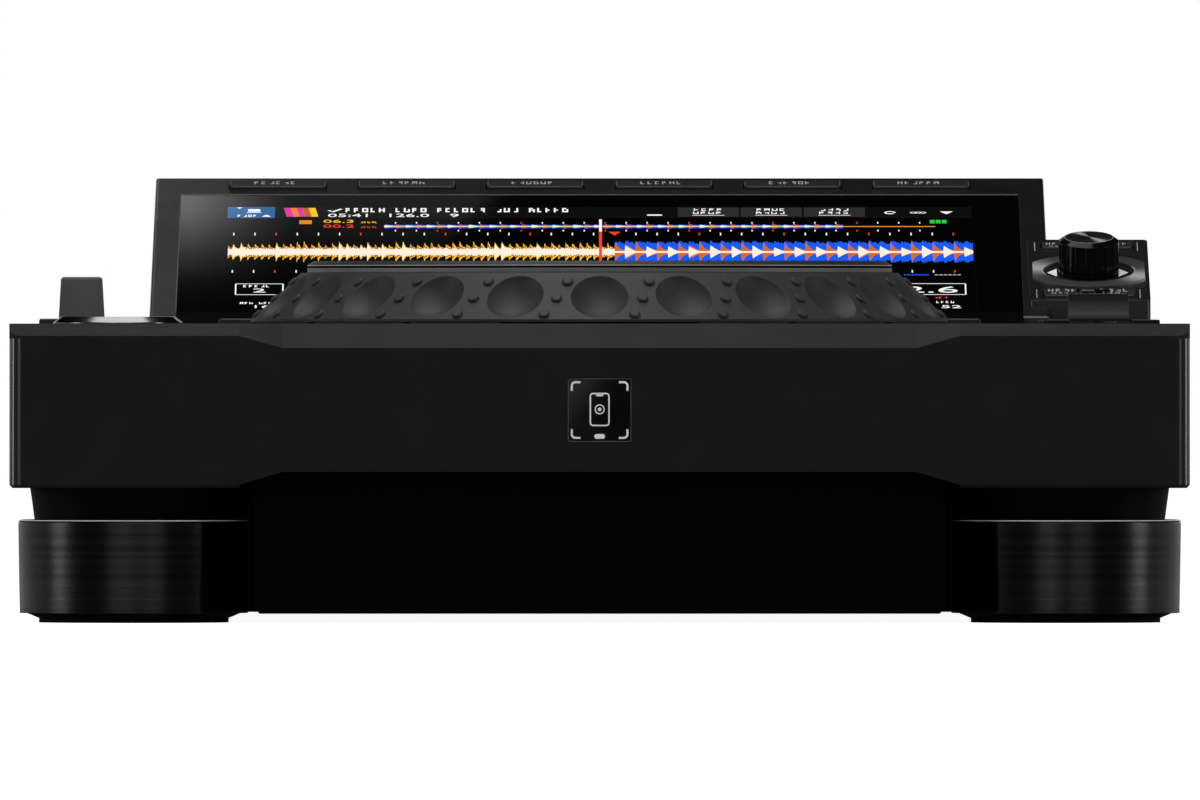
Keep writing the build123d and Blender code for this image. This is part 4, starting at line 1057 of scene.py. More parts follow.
@dataclass
class Display:
    """Main display: what its panel shows, the painted highlight on its glass's edges and the glass's black foot.

    x runs across the panel and y up its slope, both from the display's frame.
    """

    half: float = 107.1
    head_low: float = 125.4
    head_high: float = 138.6
    split: float = 4.3
    playhead: float = 0.25
    beat: float = 6.08
    fit: float = 1.006
    glass_half: float = 121.4

    def __post_init__(self) -> None:
        """Sets the drawing's frame, fitted to the panel's width."""
        self.place = LAYOUT.screen() @ Matrix.Diagonal((self.fit, 1.0, 1.0, 1.0))

    def shape(self, name: str) -> Shape:
        """Starts one piece of the picture."""
        return Shape("display_" + name, self.place)

    def number(
        self, name: str, text: str, height: float, spot: Point, glow: Glow = WHITE, stretch: float = 1.0, z: float = 0.0
    ) -> None:
        """Draws a figure.

        Args:
            name: what it shows.
            text: the figure.
            height: its height.
            spot: its middle.
            glow: its colour.
            stretch: how many times as wide as usual it is.
            z: how far over the panel it lies.
        """
        print_number("display_" + name, text, height, self.place @ shift(*spot, z), glow, stretch=stretch)

    def dashes(self, name: str, xs: Iterable[float], wide: float, low: float, high: float, glow: Glow) -> None:
        """Draws a row of short upright dashes.

        Args:
            name: what they show.
            xs: their left ends.
            wide: the width of each.
            low: their lower end.
            high: their upper end.
            glow: their colour.
        """
        row = self.shape(name)
        for x in xs:
            row.bar(x, x + wide, low, high, *TAG)
        row.build(glow)

    def build(self, row: Pattern) -> None:
        """Draws the header, waveforms, beat rows, side boxes and the lower half."""
        self.header()
        self.counters()
        self.waveforms()
        self.beats(row)
        self.side_boxes()
        self.lower_half(row)
        self.borders()

    def borders(self) -> None:
        """Draws the picture's faint edge, painted highlight lines along the glass's upper edge and left side, and its
        black foot.
        """
        self.shape("picture_edge").posts(107.6, 0.07, 17.0, 124.0, *FAINT).build(SLATE)
        frame, half = LAYOUT.screen(), self.glass_half
        foot = Shape("glass_foot", frame).bar(-half, half, 2.4, 12.9, 0.01, 0.06)
        foot.build(FINISHES["gap_shadow"])
        # Painted highlight lines along the glass's upper edge and left side.
        edge = Shape("glass_edge_line", frame).bar(-half, half, 152.9, 153.8, 0.02, 0.08)
        edge.bar(-half - 0.25, -half + 0.05, 13.0, 153.8, 0.02, 0.08).build(FINISHES["faint_highlight_line"])

    def header(self) -> None:
        """Draws the bar along the top with its tags, picture, title and tabs."""
        ends = (self.head_low, self.head_high)
        self.shape("header_bar").bar(-self.half, self.half, *ends, 0.004, 0.008).build(SLATE)
        self.shape("source_tag").bar(-self.half, -93.5, *ends, 0.01, 0.02).build(SKY)
        mark = self.shape("source_mark").prism(rounded(-99.5, 134.4, 3.6, 3.0, 0.8), *OVER_TAG)
        mark.bar(-101.6, -97.4, 131.6, 132.2, *OVER_TAG)
        mark.prism([(-97.2, 127.0), (-94.6, 127.0), (-95.9, 129.4)], *OVER_TAG)
        Greeking(2.4, 3).line(mark, -104.2, 126.7, 6.4, low=OVER_TAG[0])
        mark.prism([(-104.6, 137.9), (-102.9, 137.9), (-103.7, 136.4)], *OVER_TAG).build(WHITE)
        for i, glow in enumerate((PINK, ORANGE, PINK, RUST, AMBER)):
            x = -91.0 + i * 1.75
            band = self.shape("picture_band_%d" % i)
            band.prism([(x + 0.9, 127.0), (x + 3.0, 127.0), (x + 2.1, 137.5), (x, 137.5)], 0.01, 0.03).build(glow)
        title = self.shape("title_line")
        Greeking(4.8, 11, pitch=0.5, stroke=0.11).line(title, -73.2, 132.4, 66.0, words=5, low=TITLE[0])
        title.stroke([(-78.0, 134.4), (-76.9, 132.8), (-74.4, 136.2)], 0.9, *TITLE).build(WHITE)
        for name, text, x in (("05_41", "05:41", -72.0), ("126_0", "126.0", -55.3), ("9", "9", -41.8)):
            self.number("figure_" + name, text, 3.9, (x, 128.3), stretch=1.06, z=0.01)
        tabs, words = self.shape("tabs"), self.shape("tab_lines")
        for i, x in enumerate((22.5, 40.6, 58.8)):
            tabs.bar(x, x + 17.6, 127.0, 138.0, 0.012, 0.02)
            Greeking(2.6, 21 + i, pitch=0.85).line(words, x + 4.6, 134.0, 9.0, low=OVER_TAG[0])
            Greeking(2.6, 31 + i, pitch=0.85).line(words, x + 4.4, 130.2, 9.6, low=OVER_TAG[0])
            words.bar(x + 4.2, x + 13.4, 128.4, 128.8, 0.025, 0.04)
        tabs.build(PEWTER)
        words.build(WHITE)
        icons = self.shape("icons").prism(rounded(15.8, 128.9, 4.4, 1.3, 0.5), *ICON)
        icons.band(arc(83.6, 131.8, 1.1, 0, 315, 10), arc(83.6, 131.8, 1.7, 0, 315, 10), *ICON)
        for x in (90.3, 91.7, 93.1):
            icons.stroke(circle(0.8, 12, x, 131.8), 0.3, *ICON, closed=True)
        icons.prism([(98.0, 133.2), (101.7, 133.2), (99.85, 130.0)], *ICON).build(WHITE)

    def counters(self) -> None:
        """Draws the beat counters and the small tags under the header."""
        self.shape("counter_tag").bar(-86.4, -82.8, 118.2, 122.6, *TAG).build(ORANGE)
        for text, y, glow, name in (("06.3", 121.2, AMBER, "upper"), ("00.2", 115.4, RED, "lower")):
            self.number("count_" + name, text, 3.7, (-75.0, y), glow, stretch=1.04)
            words = self.shape("count_words_" + name)
            Greeking(1.7, len(name)).line(words, -68.9, y - 1.8, 5.6).build(glow)
        self.dashes("green_tag", (95.0 + i * 1.7 for i in range(3)), 1.4, 119.0, 123.0, GREEN)

    def waveforms(self) -> None:
        """Draws the overview with its tail, and the large waveform."""
        small = Waveform("display_overview", 115.1, 3.2, 6.03, seed=9, sample=0.4, calm=0.75, offset=-58.7)
        small.draw(-62.0, self.playhead, Hue.AHEAD, self.place)
        small.draw(self.playhead + 0.6, 70.0, Hue.AHEAD, self.place)
        self.shape("overview_tail").bar(70.0, 96.5, 114.7, 115.6, 0.006, 0.034).build(ORANGE)
        main = Waveform("display_wave", 84.4, 14.4, self.beat, seed=4)
        main.draw(-106.6, self.split, Hue.PLAYED, self.place)
        main.draw(self.split, self.half, Hue.AHEAD, self.place)

    def beats(self, row: Pattern) -> None:
        """Draws the rows of beat marks, the playheads and the cue mark."""
        for name, y, pitch, start, count, tall in (
            ("upper", 106.1, self.beat, -105.1, 35, 2.9),
            ("lower", 61.6, self.beat, -105.1, 35, 2.9),
            ("overview_top", 119.6, 6.03, -58.7, 26, 1.6),
            ("overview_foot", 110.2, 6.03, -58.7, 26, 1.6),
        ):
            marks = {"Count": count, "Pitch": pitch, "Size": (0.36, tall, 0.03), "Start": (start, y, 0.02)}
            for keep, kind, glow in ((False, "plain", WHITE), (True, "main", RED)):
                row.bake("display_beats_%s_%s" % (name, kind), self.place, glow, Every=4, Phase=2, Keep=keep, **marks)
        middle, split = self.playhead, self.split
        heads = self.shape("playhead_low").bar(middle - 0.42, middle + 0.42, 70.0, 108.6, *HEAD)
        heads.prism([(split - 1.7, 108.8), (split, 104.6), (split + 1.7, 108.8)], 0.006, 0.04).build(RED)
        self.shape("playhead_top").bar(middle - 0.4, middle + 0.4, 108.8, 123.2, *HEAD).build(WHITE)

    def side_boxes(self) -> None:
        """Draws the outlined boxes and lines at both ends, beside the wheel."""
        lines = self.shape("side_lines")
        for x, y, width, height in ((-97.2, 40.4, 13.5, 12.8), (92.6, 40.6, 23.8, 12.9)):
            lines.stroke(rounded(x, y, width, height, 0.2, 1), 0.4, *FILM, closed=True)
        Greeking(2.6, 41).line(lines, -101.8, 42.8, 9.6)
        Greeking(2.2, 42).line(lines, -102.6, 22.9, 10.6, words=2)
        Greeking(2.2, 44).line(lines, 96.0, 24.2, 5.6).build(WHITE)
        for text, x, y, tall, name in (
            ("2", -97.2, 38.6, 4.6, "deck"),
            ("16", -96.6, 19.7, 3.2, "beats"),
            ("2.6", 94.6, 39.6, 7.4, "tempo"),
            ("52", 100.2, 19.6, 3.4, "key"),
        ):
            self.number("side_" + name, text, tall, (x, y), stretch=1.3)
        Greeking(2.2, 47).line(self.shape("side_alert"), 95.4, 29.4, 5.0).build(RED)
        self.dashes("cue_dashes", (87.0 + i * 1.05 for i in range(7)), 0.85, 57.0, 58.0, BLUE)
        self.dashes("rest_dashes", (95.8 + i * 1.3 for i in range(6)), 1.0, 57.0, 58.0, SILVER)

    def lower_half(self, row: Pattern) -> None:
        """Draws what the wheel hides from the front: time, tempo and cue chips."""
        for text, x, tall, name in (
            ("02:47.3", -44.0, 9.5, "time"),
            ("126.0", 30.0, 9.5, "rate"),
            ("+0.8", 62.0, 5.0, "shift"),
        ):
            self.number("lower_" + name, text, tall, (x, 38.0), stretch=1.1)
        words = self.shape("lower_lines")
        for i, x in enumerate((-78.0, 12.0, 55.0)):
            Greeking(2.4, 51 + i).line(words, x, 48.0, 14.0)
        words.build(SILVER)
        for i, glow in enumerate((GREEN, AMBER, BLUE, PINK) * 2):
            chip = self.shape("cue_chip_%d" % (i + 1))
            chip.prism(rounded(-64.0 + i * 18.3, 25.2, 15.8, 4.4, 0.8), *FILM).build(glow)
        row.bake(
            "display_lower_scale", self.place, SILVER, Count=65, Pitch=2.2, Every=64, Phase=1, Keep=False,
            Size=(0.3, 1.6, 0.03), Start=(-71.0, 55.0, 0.02),
        )


# ------------------------------------------------------------------ touch window
@dataclass
class TouchWindow:
    """Square gloss window in the front with its printed phone mark."""

    side: float = 17.8
    rim: float = 0.25
    height: float = 59.4
    inset: float = 0.12
    depth: float = 1.4
    bracket: float = 7.75
    arm: float = 2.4
    corner: float = 1.0
    stroke: float = 0.6
    body: str = PLAYER

    def build(self) -> None:
        """Makes the glass, its dark rim and the print on it."""
        face = frame_at(0.0, LAYOUT.front + self.inset, self.height, 90.0)
        clear, full = self.side - 2 * self.rim, self.side - 0.02
        inner = rounded(0.0, 0.0, clear, clear, 0.5)
        glass = Shape("touch_glass", face).prism(inner, -self.depth, 0.0)
        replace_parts(glass.build(FINISHES["touch_glass"], self.body), "touch_window")
        rim = Shape("touch_rim", face)
        rim.band(inner, rounded(0.0, 0.0, full, full, 0.6), -self.depth, 0.02, closed=True)
        rim.build(FINISHES["window_rim"], self.body)
        self.print_mark(face)

    def print_mark(self, face: Matrix) -> None:
        """Prints four corner brackets, a phone outline with a plain dot and a pill."""
        mark = Shape("touch_print", face)
        side, bend = self.bracket, self.bracket - self.corner
        path = [(side - self.arm, side), *arc(bend, bend, self.corner, 90.0, 0.0, 6), (side, side - self.arm)]
        for _ in range(4):
            mark.stroke(path, self.stroke, *FRAME)
            path = [(-y, x) for x, y in path]
        mark.stroke(rounded(0.0, 0.15, 5.2, 8.9, 0.75), 0.42, *FRAME, closed=True)
        mark.prism([(-1.2, 4.5), (-0.9, 3.85), (0.9, 3.85), (1.2, 4.5)], *FRAME)
        mark.prism(circle(0.5, 24, y=0.2), *FRAME)
        mark.stroke(circle(1.25, 24, y=0.2), 0.32, *FRAME, closed=True)
        mark.prism(rounded(0.0, -7.35, 3.0, 1.35, 0.6), *FRAME).build(WHITE_PRINT, self.body)


# ------------------------------------------------------------------ jog wheel
@dataclass
class JogWheel:
    """The wheel's top plate marks and the round display in its middle."""

    top: float = 101.1
    rim: float = 82.4
    sides: int = 144
    body: str = "jog_wheel"

    def build(self, ring: Pattern) -> None:
        """Makes the turned grooves, the pointer dots and the round display's picture."""
        plate = frame_at(0.0, LAYOUT.jog_y, self.top)
        groove = Shape("wheel_edge_lines", plate)
        for radius in (34.0, 78.6):
            groove.stroke(circle(radius, self.sides), 0.35, -0.03, 0.015, closed=True)
        groove.build(FINISHES["bright_trim"], self.body)
        ring.bake("wheel_dots", plate, GREY_PRINT, self.body, Radius=74.5, Size=(1.6, 0.5, 0.03), Lift=0.005)
        # A painted highlight on the rim's lip, a lighter band on its side and painted shade in its groove.
        for name, inner, outer, low, high, finish in (
            ("lip_line", -0.06, 0.02, -1.42, -1.12, "highlight_line"),
            ("side_band", -0.3, 0.03, -3.2, -2.02, "wheel_band"),
            ("groove_shade", -0.58, -0.1, -1.98, -1.46, "gap_shadow"),
        ):
            near, far = circle(self.rim + inner, self.sides), circle(self.rim + outer, self.sides)
            edge = Shape("wheel_" + name, plate).band(near, far, low, high, closed=True)
            edge.build(FINISHES[finish], self.body)
        self.picture(ring, plate)

    def picture(self, ring: Pattern, plate: Matrix) -> None:
        """Draws the round display, which stands still: position ring, pointer and plain figures.

        Args:
            ring: the tree that lays marks in a ring.
            plate: frame on the wheel's axis at the display's face.
        """
        glass = Shape("round_display_glass", plate).prism(circle(29.2, 96), 0.002, 0.02)
        glass.build(FINISHES["round_glass"])
        ring.bake(
            "round_display_ticks", plate, SILVER, Count=60, Radius=26.6, Turn=90.0, Size=(1.4, 0.35, 0.02), Lift=0.04
        )
        near, far = (arc(0.0, 0.0, radius, 90.0, -150.0, 60) for radius in (22.6, 24.2))
        Shape("round_display_track", plate).band(near, far, 0.03, 0.05).build(BLUE)
        Shape("round_display_pointer", plate).bar(-0.45, 0.45, 17.4, 28.6, 0.055, 0.075).build(WHITE)
        print_number("round_display_figures", "126.0", 6.4, plate @ shift(0.0, 3.0, 0.03), WHITE, depth=0.02)
        print_number("round_display_deck", "2", 4.2, plate @ shift(0.0, -7.6, 0.03), AMBER, depth=0.02)


# ------------------------------------------------------------------ keys and knobs
@dataclass
class Legends:
    """Marks printed on the keys, the console and the deck.

    The fields that end in _at are distances behind the front, the ones that end in
    _lift heights of a printed face over the deck.
    """

    play_at: float = 42.0
    cue_at: float = 82.0
    skip_at: float = 112.0
    search_at: float = 127.0
    loops_at: float = 203.0
    reloop_at: float = 222.0
    sync_at: float = 207.0
    tempo_at: float = 103.0
    lever_at: float = 165.0
    adjust_at: float = 229.0
    pads_at: float = 254.0
    transport_lift: float = 1.5
    key_lift: float = 1.0
    loop_lift: float = 1.1
    pad_lift: float = 1.4
    cap_lift: float = 8.35
    adjust_lift: float = 9.8
    pad_pitch: float = 27.5
    bezel_pitch: float = 37.37
    bezel_y: float = 163.4
    knob_top: float = 10.6

    def build(self, row: Pattern, ring: Pattern) -> None:
        """Prints every mark, panel by panel."""
        self.bezel()
        self.console()
        self.knob_face()
        self.transport()
        self.small_keys()
        self.loops()
        self.pads()
        self.tempo(row)
        self.lever_and_adjust(ring)

    def bezel(self) -> None:
        """Prints a faint line of strokes on each key above the display, with painted highlight lines at its two ends.
        """
        for i in range(6):
            name = "bezel_button_%d" % (i + 1)
            spot = LAYOUT.screen() @ shift((i - 2.5) * self.bezel_pitch, self.bezel_y, self.key_lift)
            words = Shape(name + "_print", spot)
            Greeking(3.2, 61 + i, pitch=0.66).line(words, -6.9, -1.2, 13.8, low=INK[0]).build(GREY_PRINT, name)
            # Painted highlight lines at each key's two ends.
            Shape(name + "_ends", spot).posts(13.7, 0.12, -3.3, 2.9, *INK).build(FINISHES["faint_highlight_line"], name)

    def console(self) -> None:
        """Prints the console: turn arrows, painted glints on the ring, key lines and painted highlight lines at both
        ends of the key strips.
        """
        top = LAYOUT.console()
        arrows = Shape("console_arrows", top)
        for side, _ in SIDES:
            tip, root = side * 11.65 - 0.3, side * 8.85 - 0.3
            arrows.prism([(tip, 32.6), (root, 28.0), (root, 37.2)][:: -side], 0.006, 0.12)
        arrows.build(WHITE_PRINT)
        # Painted glints on the ring's bore at both ends.
        ring_glints = Shape("console_ring_glints", top)
        for start in (160.0, -20.0):
            ring_glints.stroke(arc(0.0, LAYOUT.knob_y, 13.25, start, start + 40.0, 10), 0.3, 0.3, 0.82)
        ring_glints.build(FINISHES["highlight_line"])
        # Painted highlight lines at both ends of the two key strips.
        strip_highlights = Shape("console_strip_frames", top).posts(14.8, 0.14, 2.6, 12.6, 0.005, 0.12, middle=-0.4)
        strip_highlights.posts(14.8, 0.14, 58.8, 68.6, 0.005, 0.12, middle=-0.4).build(FINISHES["highlight_line"])
        for row_name, y, tall in (("lower", 7.78, 3.2), ("upper", 63.34, 2.6)):
            for side, word in SIDES:
                name = "console_%s_%s_button" % (row_name, word)
                line = Shape(name + "_print", top @ shift(side * 7.4, y, 0.7))
                Greeking(tall, 71 + side, pitch=0.7).line(line, -4.6, -0.2, 9.2, low=INK[0])
                Greeking(tall * 0.6, 75 + side, pitch=0.9).line(line, -3.6, -2.6, 6.6, low=INK[0])
                line.build(GREY_PRINT, name)

    def knob_face(self) -> None:
        """Lays the turned disc, with its painted reflection streak, and a painted highlight round its rim on the
        selector knob.
        """
        top = LAYOUT.console() @ shift(0.0, LAYOUT.knob_y, self.knob_top)
        disc = Shape("selector_face", top).prism(circle(6.7, 72), 0.004, 0.04)
        disc.build(FINISHES["knob_face"], "selector_knob")
        # A painted highlight round the disc's rim.
        rim = Shape("selector_rim", top).stroke(circle(6.95, 72), 0.22, 0.004, 0.05, closed=True)
        rim.build(FINISHES["highlight_line"], "selector_knob")

    def transport(self) -> None:
        """Prints the play and cue marks, each in a lit ring."""
        keys = (("play_button", self.play_at, GREEN_LENS), ("cue_button", self.cue_at, AMBER_LENS))
        spots = [LAYOUT.top(LAYOUT.left_column, y, self.transport_lift) for _, y, _ in keys]
        marks = [Shape(name + "_print", spot) for spot, (name, _, _) in zip(spots, keys)]
        play, cue = marks
        play.prism([(-6.2, -3.2), (-0.6, 0.0), (-6.2, 3.2)], *INK)
        play.bar(1.6, 2.9, -3.2, 3.2, *INK).bar(4.4, 5.7, -3.2, 3.2, *INK)
        cue.stroke(circle(3.4, 24), 0.7, *INK, closed=True).prism(circle(1.1, 24), *INK)
        for mark, (name, _, lens) in zip(marks, keys):
            mark.build(lens, name)
        for spot, (name, _, lens) in zip(spots, keys):
            halo = Shape(name + "_halo", spot)
            halo.stroke(circle(12.6, 90), 0.5, *INK, closed=True).build(lens, name)

    def small_keys(self) -> None:
        """Prints arrows on the skip and search keys."""
        for side, word in ((-1, "back"), (1, "forward")):
            for kind, y in (("skip", self.skip_at), ("search", self.search_at)):
                name = "%s_%s_button" % (kind, word)
                mark = Shape(name + "_print", LAYOUT.top(LAYOUT.left_column + side * 9.0, y, self.key_lift))
                for root in (-1.9, 0.5):
                    arrow = [(side * (root + 1.9), 0.0), (side * root, -1.4), (side * root, 1.4)]
                    mark.prism(arrow[::side], *INK)
                if kind == "skip":
                    mark.bar(*sorted((side * 2.6, side * 3.1)), -1.4, 1.4, *INK)
                mark.build(WHITE_PRINT, name)

    def loops(self) -> None:
        """Prints open rings on the loop keys and on the sync key."""
        for name, x, y, start in (
            ("loop_in_button", -148.0, self.loops_at, 120.0),
            ("loop_out_button", -128.0, self.loops_at, -60.0),
            ("reloop_button", -138.0, self.reloop_at, 0.0),
        ):
            mark = Shape(name + "_print", LAYOUT.top(x, y, self.loop_lift))
            mark.stroke(arc(0.0, 0.0, 2.6, start, start + 250.0, 20), 0.45, *INK)
            mark.prism(circle(0.7, 18), *INK).build(AMBER_LENS, name)
        mark = Shape("sync_button_print", LAYOUT.top(LAYOUT.right_column, self.sync_at, self.loop_lift))
        for start in (20.0, 200.0):
            mark.stroke(arc(0.0, 0.0, 3.0, start, start + 130.0, 12), 0.5, *INK)
        mark.build(BLUE_LENS, "sync_button")

    def pads(self) -> None:
        """Prints a plain number and a lit line on each cue pad."""
        for i in range(8):
            name = "hot_cue_%d" % (i + 1)
            spot = LAYOUT.top((i - 3.5) * self.pad_pitch, self.pads_at, self.pad_lift)
            print_number(name + "_number", str(i + 1), 4.2, spot, WHITE_PRINT, name)
            edge = Shape(name + "_light", spot).prism(rounded(0.0, -5.2, 19.0, 0.9, 0.3), *INK)
            edge.build(LENSES[i % 4], name)

    def tempo(self, row: Pattern) -> None:
        """Prints the tempo scale, its figures and the line on the slider cap."""
        middle = LAYOUT.top(LAYOUT.right_column, self.tempo_at, self.loop_lift)
        turned = middle @ Matrix.Rotation(math.radians(90.0), 4, "Z")
        for keep, kind, reach, size in (
            (False, "short", 10.4, (0.3, 2.6, 0.03)),
            (True, "long", 11.2, (0.45, 4.6, 0.03)),
        ):
            for side, word in SIDES:
                row.bake(
                    "tempo_scale_%s_%s" % (kind, word), turned, GREY_PRINT, Count=21, Pitch=5.0, Every=5,
                    Keep=keep, Size=size, Start=(-50.0, side * reach, 0.02),
                )
        for text, y, name in (("0", 0.0, "zero"), ("+", -50.0, "plus"), ("-", 50.0, "minus")):
            print_number("tempo_mark_" + name, text, 2.0, middle @ shift(14.6, y), GREY_PRINT)
        line = Shape("tempo_knob_line", LAYOUT.top(LAYOUT.right_column, self.tempo_at, self.cap_lift))
        line.bar(-7.6, 7.6, -0.35, 0.35, *INK).build(WHITE_PRINT, "tempo_knob")

    def lever_and_adjust(self, ring: Pattern) -> None:
        """Prints arrows on the lever's plate, and the adjusting knob's ticks and pointer."""
        marks = Shape("lever_plate_print", LAYOUT.top(LAYOUT.lever_x, self.lever_at, self.pad_lift))
        marks.prism([(-1.6, 11.2), (1.6, 11.2), (0.0, 13.6)], *INK)
        marks.prism([(-1.6, -11.2), (0.0, -13.6), (1.6, -11.2)], *INK).build(GREY_PRINT)
        ring.bake(
            "adjust_scale", LAYOUT.top(LAYOUT.right_column, self.adjust_at), GREY_PRINT, Count=11, Radius=8.6,
            Sweep=308.0, Turn=-50.0, Size=(1.2, 0.3, 0.03), Lift=0.02,
        )
        cap = Shape("adjust_knob_pointer", LAYOUT.top(LAYOUT.right_column, self.adjust_at, self.adjust_lift))
        cap.bar(-0.3, 0.3, -4.4, -1.0, *INK).build(WHITE_PRINT, "adjust_knob")


# ------------------------------------------------------------------ rear and underside
@dataclass
class Hardware:
    """Marks at the rear, contacts in the ports and screws and vents underneath.

    x of the rear's frame runs to the left, as seen from behind.
    """

    rear: float = 216.5
    port_height: float = 61.0
    tray: float = 2.6
    jacks: tuple[float, ...] = (112.0, 90.0, 68.0)
    data_x: float = -40.0
    network_x: float = -64.0
    switch_x: float = -126.0

    def build(self) -> None:
        """Makes the rear marks, the ports' contacts and the underside's screws."""
        back = frame_at(0.0, self.rear, self.port_height, 90.0, 180.0)
        self.rear_marks(back)
        self.port_contacts(back)
        self.underside()

    def rear_marks(self, back: Matrix) -> None:
        """Prints plain rings, boxes and numbers beside the connectors."""
        marks = Shape("rear_marks", back)
        for x in self.jacks:
            marks.stroke(circle(7.4, 45, x), 0.3, *FRAME, closed=True)
        for x, width, height in (
            (self.data_x, 16.0, 15.0),
            (self.network_x, 20.0, 17.4),
            (-103.0, 30.0, 23.4),
            (self.switch_x, 11.4, 16.0),
        ):
            marks.stroke(rounded(x, 0.0, width, height, 1.2), 0.3, *FRAME, closed=True)
        marks.build(GREY_PRINT)
        for i, x in enumerate((*self.jacks, self.data_x, self.network_x), start=1):
            print_number("rear_number_%d" % i, str(i), 3.0, back @ shift(x, 12.0), GREY_PRINT)
        switch = Shape("power_button_print", back @ shift(self.switch_x, 0.0, 1.6))
        switch.bar(-0.2, 0.2, 1.0, 4.0, *INK)
        switch.stroke(circle(1.3, 18, y=-2.6), 0.35, *INK, closed=True).build(WHITE_PRINT, "power_button")

    def port_contacts(self, back: Matrix) -> None:
        """Puts the tongue, the gold contacts and the jacks' insulators in the ports."""
        tongue = Shape("data_port_tongue", back)
        tongue.bar(self.data_x - 2.8, self.data_x + 2.8, -1.6, 1.6, -13.4, -3.0).build(WHITE_PRINT)
        gold = Shape("network_port_contacts", back)
        for i in range(8):
            x = self.network_x - 3.6 + i * 1.02
            gold.bar(x - 0.2, x + 0.2, 2.6, 4.4, -13.0, -3.4)
        gold.build(FINISHES["contact_gold"])
        rings = Shape("jack_insulators", back)
        for x in self.jacks:
            rings.band(circle(1.75, 48, x), circle(3.2, 48, x), 8.2, 8.6, closed=True)
        rings.build(FINISHES["socket_plastic"])

    def underside(self) -> None:
        """Sets pan heads and vents in the tray's floor, rings in the soles and painted highlight lines on the feet's
        top chamfers.
        """
        floor = frame_at(0.0, 0.0, self.tray, 180.0)
        screw_pattern().bake("tray_screws", floor, FINISHES["screw_steel"])
        vents = Shape("tray_vents", floor)
        for i in range(17):
            vents.prism(rounded(0.0, -80.0 + i * 5.0, 60.0, 2.0, 0.9), 0.02, 0.3)
        vents.build(FINISHES["vent_shadow"])
        pads = Shape("sole_hubs")
        for x, y, _ in FEET:
            for radius in (8.0, 14.0, 20.0):
                pads.band(circle(radius, 45, x, y), circle(radius + 1.2, 45, x, y), 0.005, 0.02, closed=True)
        pads.build(FINISHES["rubber"])
        # A painted highlight line along each foot's top chamfer.
        for x, y, name in FEET:
            line = Shape("foot_line_" + name, frame_at(x, y, 0.0))
            line.band(circle(31.6, 144), circle(32.3, 144), 28.4, 28.62, closed=True).build(FINISHES["foot_highlight"])


# ------------------------------------------------------------------ studio
@dataclass(frozen=True)
class Fade:
    """A second glow of a window lamp that grows from one place to another, in mm."""

    start: float
    end: float
    gain: float


@dataclass(frozen=True)
class Window:
    """A square lamp that a flat gloss face mirrors, cut by one slanted edge.

    Side is its length in metres. Edge is a point on the slanted edge and slant its
    direction, in mm across and up as the lamp is seen along its ray; the light grows
    from far to near along the upright.
    """

    side: float
    edge: Point
    slant: Point
    far: float
    near: float
    radiance: float
    upright: bool = False
    glow: Optional[Fade] = None

    def hang(self, name: str, place: Vector, ray: Vector, up: Vector) -> None:
        """Hangs the lamp and wires its fading light.

        Args:
            name: name of the lamp.
            place: where the middle of the mirrored view falls, in metres.
            ray: direction from the face to the lamp.
            up: direction up the mirrored view.
        """
        across = Vector((1.0, 0.0, 0.0))
        size = math.hypot(*self.slant)
        run = (self.slant[0] / size, self.slant[1] / size)
        inward = (-run[1], run[0]) if self.upright else (run[1], -run[0])
        middle = tuple(e * MM + i * self.side / 2 for e, i in zip(self.edge, inward))
        along = (across * run[0] + up * run[1]).normalized()
        facing = ray.normalized()
        beside = facing.cross(along).normalized()
        data = bpy.data.lights.new(name, "AREA")
        data.shape = "SQUARE"
        data.size = self.side
        data.energy = math.pi * self.side**2 * self.radiance
        lamp = link(name, data)
        lamp.visible_camera = False
        turn = Matrix((along, beside, facing)).transposed().to_4x4()
        lamp.matrix_world = Matrix.Translation(place + across * middle[0] + up * middle[1]) @ turn
        data.use_nodes = True
        g = Graph(data.node_tree)
        first, second, _ = g.split(g.add("ShaderNodeNewGeometry").outputs["Parametric"])
        reach = self.side / MM
        sense = 1.0 if beside.dot(across * inward[0] + up * inward[1]) > 0 else -1.0

        def place_of(axis: int) -> Socket:
            """Place on the lamp along one axis of the mirrored view, in mm."""
            long, wide = reach * run[axis], sense * reach * inward[axis]
            run_part = g.math("MULTIPLY_ADD", first, long, -long / 2)
            side_part = g.math("MULTIPLY_ADD", second, wide, -wide / 2)
            return g.math("ADD", g.math("ADD", run_part, side_part), middle[axis] / MM)

        strength = g.math("POWER", g.spread(place_of(1), self.far, self.near), 2.3)
        if self.glow is not None:
            extra = g.math("POWER", g.spread(place_of(0), self.glow.start, self.glow.end), 1.6)
            strength = g.math("MULTIPLY", strength, g.math("MULTIPLY_ADD", extra, self.glow.gain, 1.0))
        light = g.add("ShaderNodeEmission", {"Strength": strength})
        g.add("ShaderNodeOutputLight", {"Surface": light.outputs[0]})
        LOG.info("hung %s", name)


